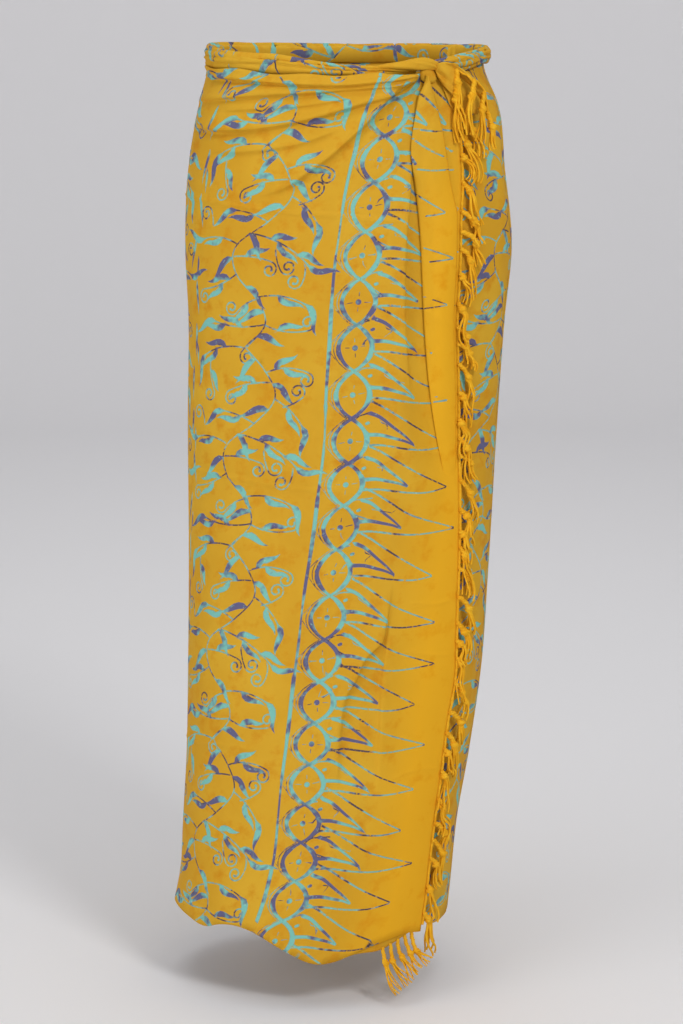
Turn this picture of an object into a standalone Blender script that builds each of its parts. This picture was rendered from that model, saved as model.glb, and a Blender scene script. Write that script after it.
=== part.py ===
"""A sarong as it is worn: one rectangular cloth wound round the hips, tied at the front right.

Metres, +Z up. The front faces -Y and the tied side is at +X. The origin is the centre of the waist,
level with the tie, where the wearer holds the cloth up. A turn angle of 0 is the centre front, and it
grows towards -X, so 90 is the plain side, 180 the centre back and -90 the tied side.
"""

import math
from collections import namedtuple

import bmesh
import bpy
import numpy as np
from mathutils import Vector

WALL = 0.0015
SEAM_GAP = 0.0004
EDGE_STRIP = 0.004
STRIP_GAP = 0.0011

# The tie, as a turn angle in degrees and a height
TIE_TURN = -30.8
TIE_HEIGHT = -0.005

# The wound cloth from waist to hem, as level sections of the body of cloth
Section = namedtuple("Section", "z half_width half_depth centre_x centre_y fullness")
SECTIONS = (
    Section(0.030, 0.1435, 0.0980, 0.001, 0.000, 2.05),
    Section(-0.004, 0.1455, 0.0990, 0.002, 0.000, 2.05),
    Section(-0.040, 0.1570, 0.1045, 0.005, 0.000, 2.05),
    Section(-0.110, 0.1675, 0.1110, 0.003, 0.000, 2.10),
    Section(-0.190, 0.1736, 0.1150, 0.005, 0.000, 2.15),
    Section(-0.270, 0.1688, 0.1150, 0.003, 0.001, 2.20),
    Section(-0.370, 0.1664, 0.1150, -0.001, 0.001, 2.20),
    Section(-0.550, 0.1620, 0.1190, -0.006, 0.000, 2.20),
    Section(-0.650, 0.1596, 0.1230, -0.010, -0.002, 2.20),
    Section(-0.750, 0.1540, 0.1280, -0.018, -0.004, 2.20),
    Section(-0.830, 0.1497, 0.1330, -0.027, -0.006, 2.15),
    Section(-0.890, 0.1480, 0.1360, -0.031, -0.008, 2.15),
    Section(-0.960, 0.1480, 0.1390, -0.038, -0.009, 2.10),
)

# The lower edge of the cloth, as a height over the level hem at each turn angle
HEM_LEVEL = -0.925
Hem = namedtuple("Hem", "turn rise")
OUTER_HEM = (
    Hem(-62, 0.003), Hem(-46, -0.001), Hem(-40, 0.001), Hem(-27, -0.004), Hem(-16, -0.012),
    Hem(-9, -0.020), Hem(-2, -0.023), Hem(9, -0.010), Hem(15, -0.001), Hem(22, 0.008),
    Hem(31, 0.013), Hem(39, 0.011), Hem(51, 0.002), Hem(64, 0.006), Hem(80, 0.010),
    Hem(110, 0.004), Hem(150, 0.000),
)

# The fringed free edge of the outer turn, and the folded edge of the pleat that hangs from the tie
Edge = namedtuple("Edge", "z turn")
FREE_EDGE = (
    Edge(0.000, -41.0), Edge(-0.030, -42.0), Edge(-0.080, -42.6), Edge(-0.120, -43.2),
    Edge(-0.165, -40.4), Edge(-0.245, -39.7), Edge(-0.350, -43.1), Edge(-0.435, -45.5),
    Edge(-0.525, -46.9), Edge(-0.600, -47.8), Edge(-0.650, -49.0), Edge(-0.700, -47.3),
    Edge(-0.750, -47.8), Edge(-0.830, -49.3), Edge(-0.880, -48.4), Edge(-0.930, -47.4),
)
PLEAT_FOLD = (
    Edge(0.000, -30.0), Edge(-0.016, -28.2), Edge(-0.031, -24.5), Edge(-0.054, -22.2),
    Edge(-0.087, -20.6), Edge(-0.118, -21.8), Edge(-0.210, -22.9), Edge(-0.272, -25.0),
    Edge(-0.348, -29.2), Edge(-0.412, -35.2), Edge(-0.478, -44.1), Edge(-0.500, -47.2),
)
PLEAT_OUTER = (
    Edge(0.000, -29.5), Edge(-0.040, -31.6), Edge(-0.075, -34.0), Edge(-0.100, -35.6),
    Edge(-0.125, -36.9), Edge(-0.170, -39.3), Edge(-0.245, -41.0), Edge(-0.500, -48.0),
)
PLEAT_TOP, PLEAT_FOOT = -0.025, -0.455
PLEAT_STAND = 0.0007

# Soft folds that fan out from the tie: the angle below level, how high, how wide, how far they reach
Gather = namedtuple("Gather", "below height spread near far")
GATHERS = (
    Gather(7.0, 0.0030, 2.0, 0.05, 0.36),
    Gather(11.0, 0.0034, 2.0, 0.04, 0.36),
    Gather(16.0, 0.0040, 2.8, 0.04, 0.35),
    Gather(24.0, 0.0046, 3.6, 0.04, 0.31),
    Gather(34.0, 0.0042, 4.0, 0.04, 0.25),
    Gather(46.0, 0.0048, 4.0, 0.03, 0.20),
    Gather(63.0, 0.0030, 5.0, 0.03, 0.16),
)
UNROLLED_RADIUS = 0.145

# How far the outer turn stands off the body of cloth, so that the under turn fits below it
Lift = namedtuple("Lift", "turn height")
OUTER_LIFT = (
    Lift(-60, 0.0052), Lift(-30, 0.0056), Lift(0, 0.0068), Lift(50, 0.0062), Lift(80, 0.0050),
    Lift(120, 0.0024), Lift(165, 0.0004), Lift(270, 0.0000),
)
UNDER_SINK = 0.0008
CORNER_INSET = 0.0022
SIDE_TURN = 100.0
BACK_TURN = 190.0
RIGHT_TURN = -80.0
UNDER_TURN = -36.0
UNDER_END_TURN = 62.0

# The rolled waist: its centre height, height and depth at each turn angle
Roll = namedtuple("Roll", "turn z tall deep")
ROLL = (
    Roll(-26.9, -0.0035, 0.0090, 0.0090), Roll(-14, -0.0060, 0.0100, 0.0090),
    Roll(3, -0.0052, 0.0116, 0.0095), Roll(18, -0.0023, 0.0172, 0.0100),
    Roll(29, 0.0006, 0.0208, 0.0100), Roll(50, 0.0036, 0.0196, 0.0105),
    Roll(79, 0.0085, 0.0228, 0.0110), Roll(180, 0.0110, 0.0220, 0.0110),
    Roll(270, 0.0105, 0.0180, 0.0105), Roll(285, 0.0100, 0.0155, 0.0100),
    Roll(309, 0.0022, 0.0170, 0.0100), Roll(324.5, -0.0020, 0.0120, 0.0090),
)
ROLL_LIFT = 0.0035

# The knot's half sizes along the cloth, out from it, and up
KNOT_ALONG, KNOT_OUT, KNOT_UP = 0.0094, 0.0072, 0.0095

# The turned corner: where it starts and ends, and how far it hangs below the front panel's edge
CORNER_START, CORNER_END = -12.0, -46.0
CORNER_DROP = 0.0075

# The fringe: one twisted tassel for each bundle of warp ends
TASSELS = 36
TASSEL_LENGTH = 0.040
TASSEL_REACH = 0.0165
TASSEL_HALF = 0.0024
TASSEL_STEPS = 4


def smooth(value, rows, key, field):
    """A smooth curve through one column of a table, read at value."""
    pairs = sorted((getattr(row, key), getattr(row, field)) for row in rows)
    at = np.array([pair[0] for pair in pairs], float)
    height = np.array([pair[1] for pair in pairs], float)
    slope = np.gradient(height, at)
    value = min(max(float(value), at[0]), at[-1])
    i = min(int(np.searchsorted(at, value, side="right")) - 1, len(at) - 2)
    span = at[i + 1] - at[i]
    t = (value - at[i]) / span
    return float(
        height[i] * (1 + 2 * t) * (1 - t) ** 2 + height[i + 1] * t * t * (3 - 2 * t)
        + span * (slope[i] * t * (1 - t) ** 2 - slope[i + 1] * t * t * (1 - t))
    )


def ease(value, low, high):
    """0 below low, 1 above high, and a soft step between."""
    t = min(max((value - low) / (high - low), 0.0), 1.0)
    return t * t * (3 - 2 * t)


def bump(value, centre, spread):
    return math.exp(-((value - centre) / spread) ** 2)


def surface(turn, z, lift):
    """A point that stands lift outside the body of cloth, at a turn angle in degrees and a height."""
    half_width = smooth(z, SECTIONS, "z", "half_width") + lift
    half_depth = smooth(z, SECTIONS, "z", "half_depth") + lift
    power = 2.0 / smooth(z, SECTIONS, "z", "fullness")
    side, front = math.sin(math.radians(turn)), math.cos(math.radians(turn))
    return Vector((
        smooth(z, SECTIONS, "z", "centre_x") - math.copysign(abs(side) ** power, side) * half_width,
        smooth(z, SECTIONS, "z", "centre_y") - math.copysign(abs(front) ** power, front) * half_depth,
        z,
    ))


def gathers(turn, z):
    """The height of the folds that fan out from the tie."""
    along = math.radians(turn - TIE_TURN) * UNROLLED_RADIUS
    down = TIE_HEIGHT - z
    reach = math.hypot(along, down)
    below = math.degrees(math.atan2(down, max(along, 1e-6)))
    height = 0.0
    for fold in GATHERS:
        fade = ease(reach, 0.0, fold.near) * (1 - ease(reach, 0.55 * fold.far, fold.far))
        height += fold.height * fade * bump(below, fold.below, fold.spread)
    return height


def valley(turn, z):
    """The hollow beside the hanging pleat, with the soft roll of the front panel before it."""
    fold = smooth(z, PLEAT_FOLD, "z", "turn")
    fade = ease(-z, 0.05, 0.14) * (1 - ease(-z, 0.38, 0.50))
    roll = 0.0078 * bump(turn, fold + 14.0, 6.5)
    hollow = -0.0030 * (1 - ease(turn, fold + 1.0, fold + 7.0))
    return fade * (roll + hollow)


def second_tuck(turn, z):
    """A shallow tuck lower down: a slanting ridge, and a facet that ends in a step to the right."""
    fade = ease(-z, 0.55, 0.61) * (1 - ease(-z, 0.72, 0.78))
    ridge = -16.0 + 120.0 * (-z - 0.57)
    step = ease(turn, -16.8, -13.6)
    return 0.0036 * fade * step * (1 - ease(turn, ridge, ridge + 9.0))


def hem_waves(turn, z):
    """The lower edge swings in and out, and turns under at the very bottom."""
    near_hem = ease(-z, 0.86, 0.98)
    swing = 0.010 * bump(turn, 84, 13) - 0.007 * bump(turn, 50, 13) + 0.006 * bump(turn, 20, 15)
    return near_hem * (swing - 0.0015 * bump(turn, -32, 16))


def front_lift(turn, z):
    """How far the outer turn stands off the body of cloth, folds and all."""
    return (
        smooth(turn, OUTER_LIFT, "turn", "height")
        + gathers(turn, z) + valley(turn, z) + second_tuck(turn, z) + hem_waves(turn, z)
        + 0.0018 * ease(-z, 0.80, 0.95) * (1 - ease(turn, 60, 120))
    )


def outer_hem(turn):
    return HEM_LEVEL + smooth(turn, OUTER_HEM, "turn", "rise")


def roll_underside(turn):
    """Where the wall meets the rolled waist."""
    start, end = ROLL[0].turn, ROLL[-1].turn - 360
    at = turn if turn > start else turn + 360
    if end < turn < start:
        share = (start - turn) / (start - end)
        low = ROLL[0].z - ROLL[0].tall / 2
        high = ROLL[-1].z - ROLL[-1].tall / 2
        return low + (high - low) * share - 0.0065 * math.sin(math.pi * share) - SEAM_GAP
    return smooth(at, ROLL, "turn", "z") - smooth(at, ROLL, "turn", "tall") / 2 - SEAM_GAP


def material(name, colour, roughness):
    made = bpy.data.materials.new(name)
    made.use_nodes = True
    shader = made.node_tree.nodes["Principled BSDF"]
    shader.inputs["Base Color"].default_value = (*colour, 1)
    shader.inputs["Roughness"].default_value = roughness
    shader.inputs["Metallic"].default_value = 0.0
    return made


def add_object(name, mesh_data, finish):
    made = bpy.data.objects.new(name, mesh_data)
    mesh_data.materials.append(finish)
    mesh_data.shade_smooth()
    bpy.context.scene.collection.objects.link(made)
    return made


def mesh_from(name, bm):
    bm.normal_update()
    bmesh.ops.recalc_face_normals(bm, faces=bm.faces)
    made = bpy.data.meshes.new(name)
    bm.to_mesh(made)
    bm.free()
    return made


def cloth(name, point, across, up, finish, wall=WALL):
    """A sheet of cloth with a real wall: point(p, q) gives its middle, for p and q from 0 to 1."""
    bm = bmesh.new()
    grid = [[bm.verts.new(point(p, q)) for q in up] for p in across]
    for left, right in zip(grid, grid[1:]):
        for a, b, c, d in zip(left, right, right[1:], left[1:]):
            bm.faces.new((a, b, c, d))
    made = add_object(name, mesh_from(name, bm), finish)
    thick = made.modifiers.new("wall", "SOLIDIFY")
    thick.thickness = wall
    thick.offset = 0.0
    thick.use_even_offset = True
    return made


def spread_evenly(count):
    return [i / count for i in range(count + 1)]


def closer_at_top(count, power=1.5):
    """Steps from 0 to 1 that lie closer together near 1, where the folds are finest."""
    return [1 - (1 - i / count) ** power for i in range(count + 1)]


def stretch(first_turn, last_turn, hem, top, lift):
    """The point function of one stretch of the wound cloth; the turn limits may follow the height."""
    def point(p, q):
        z = HEM_LEVEL * (1 - q)
        for _ in range(3):
            start, end = first_turn(z), last_turn(z)
            turn = start + (end - start) * p
            z = hem(turn) + (top(turn) - hem(turn)) * q
        return surface(turn, z, lift(turn, z))
    return point


def seam(turn, side):
    """A fixed seam line, moved half a gap to one side."""
    shift = side * math.degrees(SEAM_GAP / UNROLLED_RADIUS)
    return lambda z: turn + shift


def free_edge(z):
    return smooth(z, FREE_EDGE, "z", "turn")


def front_panel(finish):
    """The outer turn across the front, from the plain side to the strip of the fringed edge."""
    inset = math.degrees((EDGE_STRIP / 2 + STRIP_GAP) / UNROLLED_RADIUS)
    point = stretch(
        seam(SIDE_TURN, -1), lambda z: free_edge(z) + inset, outer_hem, roll_underside, front_lift
    )
    cloth("front_panel", point, closer_at_top(38, 1.25), closer_at_top(30, 1.7), finish)


def back_lift(turn, z):
    """The back hangs plainly, with shallow gathers under the rolled waist."""
    fade = 1 - ease(-z, 0.02, 0.20)
    folds = 0.0016 * math.sin(math.radians(turn * 11)) * fade * ease(turn, SIDE_TURN, SIDE_TURN + 30)
    return smooth(turn, OUTER_LIFT, "turn", "height") + folds * (1 - ease(turn, 245, 275))


def back_panel(name, first_turn, last_turn, finish):
    """One half of the stretch from the plain side round the back to the tied side."""
    point = stretch(seam(first_turn, 1), seam(last_turn, -1), outer_hem, roll_underside, back_lift)
    cloth(name, point, spread_evenly(15), closer_at_top(18), finish)


def under_lift(turn, z):
    """The tied side shows, with creases under the rolled waist. Past the free edge it lies flat."""
    shows = ease(-turn, 46, 56)
    near_waist = ease(-z, 0.02, 0.05) * (1 - ease(-z, 0.10, 0.22))
    creases = 0.0024 * near_waist * shows * (bump(turn, -72, 3.5) - 0.8 * bump(turn, -62, 4))
    return creases - UNDER_SINK * ease(turn, RIGHT_TURN, RIGHT_TURN + 20)


def first_turn_panel(name, first_turn, last_turn, steps, finish):
    """A stretch of the first turn, which shows at the tied side and runs on under the front panel."""
    def hem(turn):
        return HEM_LEVEL + 0.012 * ease(turn, -62, -46) - 0.002

    def top(turn):
        return roll_underside(turn) - 0.012 * ease(turn, -48, -38)

    point = stretch(seam(first_turn, 1), seam(last_turn, -1), hem, top, under_lift)
    cloth(name, point, spread_evenly(steps), closer_at_top(16), finish)


def pleat_edges(z):
    """The folded edge of the pleat and its other side, which stops short of the tassels."""
    return smooth(z, PLEAT_FOLD, "z", "turn"), max(smooth(z, PLEAT_OUTER, "z", "turn"), free_edge(z) + 2.4)


def pleat_lift(turn, z):
    """The pleat lies on the front panel, rounded where it folds."""
    fold, outer = pleat_edges(z)
    share = (turn - outer) / max(fold - outer, 0.5)
    crown = 0.0045 * math.sin(math.pi * min(max(share, 0.0), 1.0)) ** 0.7
    return front_lift(turn, z) + WALL + PLEAT_STAND + crown


def hanging_pleat(finish):
    """The pleat that falls from the tie and runs out at the fringed edge."""
    def point(p, q):
        z = PLEAT_FOOT + (PLEAT_TOP - PLEAT_FOOT) * q
        fold, outer = pleat_edges(z)
        turn = fold + (outer - fold) * p
        return surface(turn, z, pleat_lift(turn, z))

    cloth("hanging_pleat", point, spread_evenly(8), closer_at_top(26, 1.3), finish)


def corner_foot(turn):
    """The lower edge of the turned corner."""
    share = (turn - CORNER_START) / (CORNER_END - CORNER_START)
    return outer_hem(turn) - CORNER_DROP * math.sin(math.pi * min(share * 1.15, 1.0)) - 0.001


def turned_corner(finish):
    """The lower corner of the front panel, turned under, so that a sliver of it shows below the hem."""
    def point(p, q):
        turn = CORNER_START + (CORNER_END - CORNER_START) * p
        z = corner_foot(turn) + 0.060 * q * (0.35 + 0.65 * p)
        return surface(turn, z, front_lift(turn, z) - CORNER_INSET)

    cloth("turned_corner", point, spread_evenly(10), spread_evenly(3), finish, wall=0.0012)


def waist_roll(name, first_turn, last_turn, steps, finish):
    """A stretch of the upper edge, rolled over on itself."""
    sides = 10
    bm = bmesh.new()
    rings = []
    for step in range(steps + 1):
        turn = first_turn + (last_turn - first_turn) * step / steps
        z, tall, deep = (smooth(turn, ROLL, "turn", field) for field in ("z", "tall", "deep"))
        middle = surface(turn, z, ROLL_LIFT)
        outward = (surface(turn, z, ROLL_LIFT + 0.01) - middle).normalized()
        ring = []
        for side in range(sides):
            angle = 2 * math.pi * side / sides
            offset = outward * (math.cos(angle) * deep / 2) + Vector((0, 0, math.sin(angle) * tall / 2))
            ring.append(bm.verts.new(middle + offset))
        rings.append(ring)
    for first, second in zip(rings, rings[1:]):
        bmesh.ops.bridge_loops(bm, edges=loop_edges(bm, first) + loop_edges(bm, second))
    for ring in (rings[0], rings[-1]):
        bm.faces.new(ring)
    add_object(name, mesh_from(name, bm), finish)


def loop_edges(bm, ring):
    """The closed loop of edges through a ring of points."""
    return [
        bm.edges.get((a, b)) or bm.edges.new((a, b)) for a, b in zip(ring, ring[1:] + ring[:1])
    ]


def turn_at(x, z, lift):
    """The turn angle where the front of the cloth, or a place lift outside it, stands at x."""
    low, high = -89.0, 89.0
    for _ in range(30):
        middle = (low + high) / 2
        if surface(middle, z, lift).x > x:
            low = middle
        else:
            high = middle
    return (low + high) / 2


def tie_point(right, up, out):
    """A point placed from the tie as seen from the front: to the right, up, and out from the cloth."""
    z, lift = TIE_HEIGHT + up, 0.009 + out
    return surface(turn_at(surface(TIE_TURN, z, 0.009).x + right, z, lift), z, lift)


def knot(finish):
    """The lump where the gathered cloth crosses itself."""
    bm = bmesh.new()
    bmesh.ops.create_uvsphere(bm, u_segments=14, v_segments=9, radius=1.0)
    middle = tie_point(0.000, 0.0020, -0.001)
    along = (tie_point(0.01, 0, 0) - tie_point(-0.01, 0, 0)).normalized()
    outward = (tie_point(0, 0, 0.01) - tie_point(0, 0, 0)).normalized()
    for vert in bm.verts:
        x, y, z = vert.co
        fold = 1 + 0.10 * math.sin(3 * math.atan2(z, y))
        offset = along * (x * KNOT_ALONG) + outward * (y * KNOT_OUT * fold)
        vert.co = middle + offset + Vector((0, 0, z * KNOT_UP))
    add_object("knot", mesh_from("knot", bm), finish)


# The tied corner fans out of the knot: the ridge that each line passes over, and where it ends
Fan = namedtuple("Fan", "share ridge_right ridge_up ridge_out end_right end_up end_out")
FAN = (
    Fan(0.00, 0.012, -0.016, 0.004, 0.027, -0.025, 0.003),
    Fan(0.25, 0.016, -0.004, 0.012, 0.031, -0.011, 0.013),
    Fan(0.50, 0.015, 0.018, 0.012, 0.036, -0.001, 0.018),
    Fan(0.75, 0.032, 0.024, 0.008, 0.046, -0.008, 0.017),
    Fan(1.00, 0.046, 0.016, -0.001, 0.057, -0.020, 0.008),
)
FAN_ROOT = 0.0099


def fan_point(share, reach):
    """A point of the tied corner: share runs along its end edge, and reach runs out from the knot."""
    ridge, end = (
        [smooth(share, FAN, "share", f"{part}_{way}") for way in ("right", "up", "out")]
        for part in ("ridge", "end")
    )
    angle = math.radians(-50 + 100 * share)
    root = (FAN_ROOT, 0.0025 + 0.0035 * math.sin(angle), -0.001 + 0.003 * math.cos(angle))
    a, b, c = (1 - reach) ** 2, 2 * reach * (1 - reach), reach * reach
    return tie_point(*(a * r + b * m + c * e for r, m, e in zip(root, ridge, end)))


def tied_corner(finish):
    """The free upper corner of the cloth, pulled through the knot and fanned out over it."""
    cloth("tied_corner", fan_point, spread_evenly(12), spread_evenly(6), finish, wall=0.0011)


def tucked_tip(finish):
    """The other corner, pushed up behind the rolled waist so that its tip shows above it."""
    def point(p, q):
        turn = -46.0 - 6.0 * p - 2.0 * q
        return surface(turn, -0.004 + 0.0215 * q + 0.004 * p * q, -0.0036 + 0.001 * math.sin(3 * p))

    cloth("tucked_tip", point, spread_evenly(4), spread_evenly(3), finish, wall=0.0010)


def square_cord(bm, path, sizes):
    """One closed square cord along a path, half as thick as its size at each point."""
    rings = []
    for i, here in enumerate(path):
        ahead = path[min(i + 1, len(path) - 1)] - path[max(i - 1, 0)]
        side = ahead.cross(Vector((0.3, -0.9, 0.1))).normalized()
        front = side.cross(ahead).normalized()
        rings.append([
            bm.verts.new(here + side * (sizes[i] * a) + front * (sizes[i] * b))
            for a, b in ((1, 1), (-1, 1), (-1, -1), (1, -1))
        ])
    for first, second in zip(rings, rings[1:]):
        for k in range(4):
            bm.faces.new((first[k], first[(k + 1) % 4], second[(k + 1) % 4], second[k]))
    bm.faces.new(rings[0][::-1])
    bm.faces.new(rings[-1])


def tassel(bm, path, half):
    """A tassel is slim where it leaves the cloth and at its end."""
    sizes = [half * (1.1 - 0.5 * i / TASSEL_STEPS) for i in range(len(path))]
    sizes[0] = half * 0.45
    square_cord(bm, path, sizes)


def join_fringe(backing, strands_mesh, name, finish):
    """Fuses the strands into their backing, so that the fringe is one body."""
    strands = add_object(name + "_strands", strands_mesh, finish)
    strands.hide_render = True
    strands.display_type = "WIRE"
    strands.modifiers.new("flat_faces", "TRIANGULATE")
    backing.modifiers.new("flat_faces", "TRIANGULATE")
    union = backing.modifiers.new("roots", "BOOLEAN")
    union.operation = "UNION"
    union.object = strands
    backing.modifiers.new("flat_pieces", "TRIANGULATE")


def edge_path(z_start, length, lean):
    """A tassel leaves the edge to the right, then falls beside the cloth under its own weight."""
    path = []
    for i in range(TASSEL_STEPS + 1):
        t = i / TASSEL_STEPS
        right = lean * (1 - (1 - t) ** 2.2)
        z = z_start - length * (0.10 * t + 0.90 * t * t)
        turn = free_edge(max(z_start, HEM_LEVEL)) - math.degrees(right / UNROLLED_RADIUS)
        path.append(surface(turn, z, strip_lift(z_start) + 0.0022 * ease(t, 0.0, 0.5)))
    return path


def strip_lift(z):
    """How far the fringed edge stands off the body of cloth."""
    z = max(z, HEM_LEVEL)
    return front_lift(free_edge(z), z)


def edge_fringe(finish):
    """A narrow strip along the free edge, with the knotted tassels that hang from it."""
    top, foot = -0.030, HEM_LEVEL + 0.012
    half = math.degrees(EDGE_STRIP / 2 / UNROLLED_RADIUS)

    def point(p, q):
        z = foot + (top - foot) * q
        turn = free_edge(z) + half * (1 - 2 * p)
        return surface(turn, z, strip_lift(z))

    backing = cloth("edge_fringe", point, (0.0, 1.0), closer_at_top(34, 1.4), finish)
    bm = bmesh.new()
    for k in range(TASSELS):
        z = top + (foot - top) * (k + 0.5) / TASSELS
        wander = math.sin(2.4 * k)
        path = edge_path(z, TASSEL_LENGTH + 0.005 * wander, TASSEL_REACH + 0.002 * wander)
        tassel(bm, path, TASSEL_HALF)
    join_fringe(backing, mesh_from("edge_strands", bm), "edge_fringe", finish)


def corner_fringe(finish):
    """The tassels that hang from the turned corner, below the hem."""
    top_turn, foot_turn = -26.5, -44.0

    def point(p, q):
        turn = top_turn + (foot_turn - top_turn) * q
        low = corner_foot(turn)
        return surface(turn, low - SEAM_GAP - 0.0012 - 0.003 * p, front_lift(turn, low) - CORNER_INSET)

    backing = cloth("corner_fringe", point, (0.0, 1.0), spread_evenly(6), finish, wall=0.0014)
    bm = bmesh.new()
    for k in range(5):
        root = point(0.5, (k + 0.5) / 5)
        length = 0.046 - 0.005 * k
        steps = [i / TASSEL_STEPS for i in range(TASSEL_STEPS + 1)]
        path = [root + Vector((0.014 * t * t, -0.012 * t, 0.001 - length * t)) for t in steps]
        tassel(bm, path, TASSEL_HALF * 0.85)
    join_fringe(backing, mesh_from("corner_strands", bm), "corner_fringe", finish)


def tie_fringe(finish):
    """The tassels of the tied corner, which hang from its end edge."""
    steps, half, gap = 12, 0.0012, 0.0012
    rim = []
    for step in range(steps + 1):
        share = step / steps
        end = fan_point(share, 1.0)
        along = (fan_point(min(share + 0.04, 1), 1.0) - fan_point(max(share - 0.04, 0), 1.0)).normalized()
        away = end - fan_point(share, 0.6)
        rim.append(end + (away - along * away.dot(along)).normalized() * (gap + half))
    bm = bmesh.new()
    square_cord(bm, rim, [half] * len(rim))
    backing = add_object("tie_fringe", mesh_from("tie_fringe", bm), finish)
    bm = bmesh.new()
    out = (tie_point(0.03, 0, 0.01) - tie_point(0.03, 0, 0)).normalized()
    for k in (0, 8, 10, 12):
        length = 0.050 + 0.006 * math.sin(2.7 * k)
        path = []
        for i in range(TASSEL_STEPS + 1):
            t = i / TASSEL_STEPS
            fall = length * (0.05 * t + 0.95 * t * t)
            path.append(rim[k] + out * (0.004 * ease(t, 0, 0.4)) + Vector((0.003 * t, 0, -fall)))
        tassel(bm, path, TASSEL_HALF * 0.7)
    join_fringe(backing, mesh_from("tie_strands", bm), "tie_fringe", finish)


def main():
    for old in list(bpy.data.objects):
        bpy.data.objects.remove(old)
    batik = material("batik_cloth", (0.80, 0.46, 0.03), 0.62)
    plain = material("plain_cloth", (0.83, 0.45, 0.02), 0.62)
    yarn = material("fringe_yarn", (0.88, 0.47, 0.01), 0.75)
    front_panel(batik)
    back_panel("back_panel_left", SIDE_TURN, BACK_TURN, batik)
    back_panel("back_panel_right", BACK_TURN, RIGHT_TURN + 360, batik)
    first_turn_panel("side_panel", RIGHT_TURN, UNDER_TURN, 10, batik)
    first_turn_panel("under_panel", UNDER_TURN, UNDER_END_TURN, 18, batik)
    hanging_pleat(plain)
    turned_corner(plain)
    waist_roll("waist_roll_front", ROLL[0].turn, SIDE_TURN - 0.2, 28, batik)
    waist_roll("waist_roll_back", SIDE_TURN + 0.2, ROLL[-1].turn, 40, batik)
    knot(plain)
    tied_corner(plain)
    tucked_tip(plain)
    edge_fringe(yarn)
    corner_fringe(yarn)
    tie_fringe(yarn)


main()
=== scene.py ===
"""The look of a batik sarong as it is worn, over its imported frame. Metres, +Z up, the front faces -Y.

A turn angle of 0 is the centre front. It grows towards -X, so 90 is the plain side, 180 the centre back
and -90 the tied side. The dyed pattern is charted on the flat cloth: u runs along the cloth from its chain
of ovals towards the plain side, and v runs down from the tie.
"""

import math

import bmesh
import bpy
import numpy as np
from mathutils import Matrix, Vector
from mathutils.geometry import delaunay_2d_cdt
from mathutils.kdtree import KDTree


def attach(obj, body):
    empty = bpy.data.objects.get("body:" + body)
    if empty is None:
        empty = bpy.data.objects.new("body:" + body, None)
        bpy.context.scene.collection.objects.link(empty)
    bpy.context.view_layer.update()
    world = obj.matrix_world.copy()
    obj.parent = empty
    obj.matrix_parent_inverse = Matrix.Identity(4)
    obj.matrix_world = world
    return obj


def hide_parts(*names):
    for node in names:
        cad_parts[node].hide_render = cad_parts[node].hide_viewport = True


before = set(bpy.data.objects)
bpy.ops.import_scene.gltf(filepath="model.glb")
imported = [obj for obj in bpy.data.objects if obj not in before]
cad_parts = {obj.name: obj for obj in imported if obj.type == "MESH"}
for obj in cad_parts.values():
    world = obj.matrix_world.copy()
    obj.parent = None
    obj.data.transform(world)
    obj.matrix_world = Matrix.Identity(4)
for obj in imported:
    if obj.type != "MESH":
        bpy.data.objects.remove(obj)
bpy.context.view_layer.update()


# FRONT CLOTH. The outer turn of one rayon cloth, waxed by hand and dyed twice. It is wound across the
# front from the plain side, gathered at the tie into folds that fan out, and pressed flat folds still
# show in it from its packing.

# The body of cloth as level sections: height, half width, half depth, centre x, centre y, fullness
SECTIONS = (
    (0.030, 0.1435, 0.0980, 0.001, 0.000, 2.05), (-0.004, 0.1455, 0.0990, 0.002, 0.000, 2.05),
    (-0.040, 0.1570, 0.1045, 0.005, 0.000, 2.05), (-0.110, 0.1675, 0.1110, 0.003, 0.000, 2.10),
    (-0.190, 0.1736, 0.1150, 0.005, 0.000, 2.15), (-0.270, 0.1688, 0.1150, 0.003, 0.001, 2.20),
    (-0.370, 0.1664, 0.1150, -0.001, 0.001, 2.20), (-0.550, 0.1620, 0.1190, -0.006, 0.000, 2.20),
    (-0.650, 0.1596, 0.1230, -0.010, -0.002, 2.20), (-0.750, 0.1540, 0.1280, -0.018, -0.004, 2.20),
    (-0.830, 0.1497, 0.1330, -0.027, -0.006, 2.15), (-0.890, 0.1480, 0.1360, -0.031, -0.008, 2.15),
    (-0.960, 0.1480, 0.1390, -0.038, -0.009, 2.10),
)
TIE_TURN, TIE_HEIGHT = -30.8, -0.005
HEM_LEVEL = -0.925
SIDE_TURN, RIGHT_TURN, UNDER_END_TURN = 100.0, -80.0, 62.0
ROUND = 0.145
SEAM_GAP = 0.0004
CLOTH_WALL = 0.0007

# Turn angle and rise of the lower edge over the level hem
OUTER_HEM = (
    (-62, 0.003), (-46, -0.001), (-40, 0.001), (-27, -0.004), (-16, -0.012), (-9, -0.020), (-2, -0.023),
    (9, -0.010), (15, -0.001), (22, 0.008), (31, 0.013), (39, 0.011), (51, 0.002), (64, 0.006),
    (80, 0.010), (110, 0.004), (150, 0.000),
)
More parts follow.
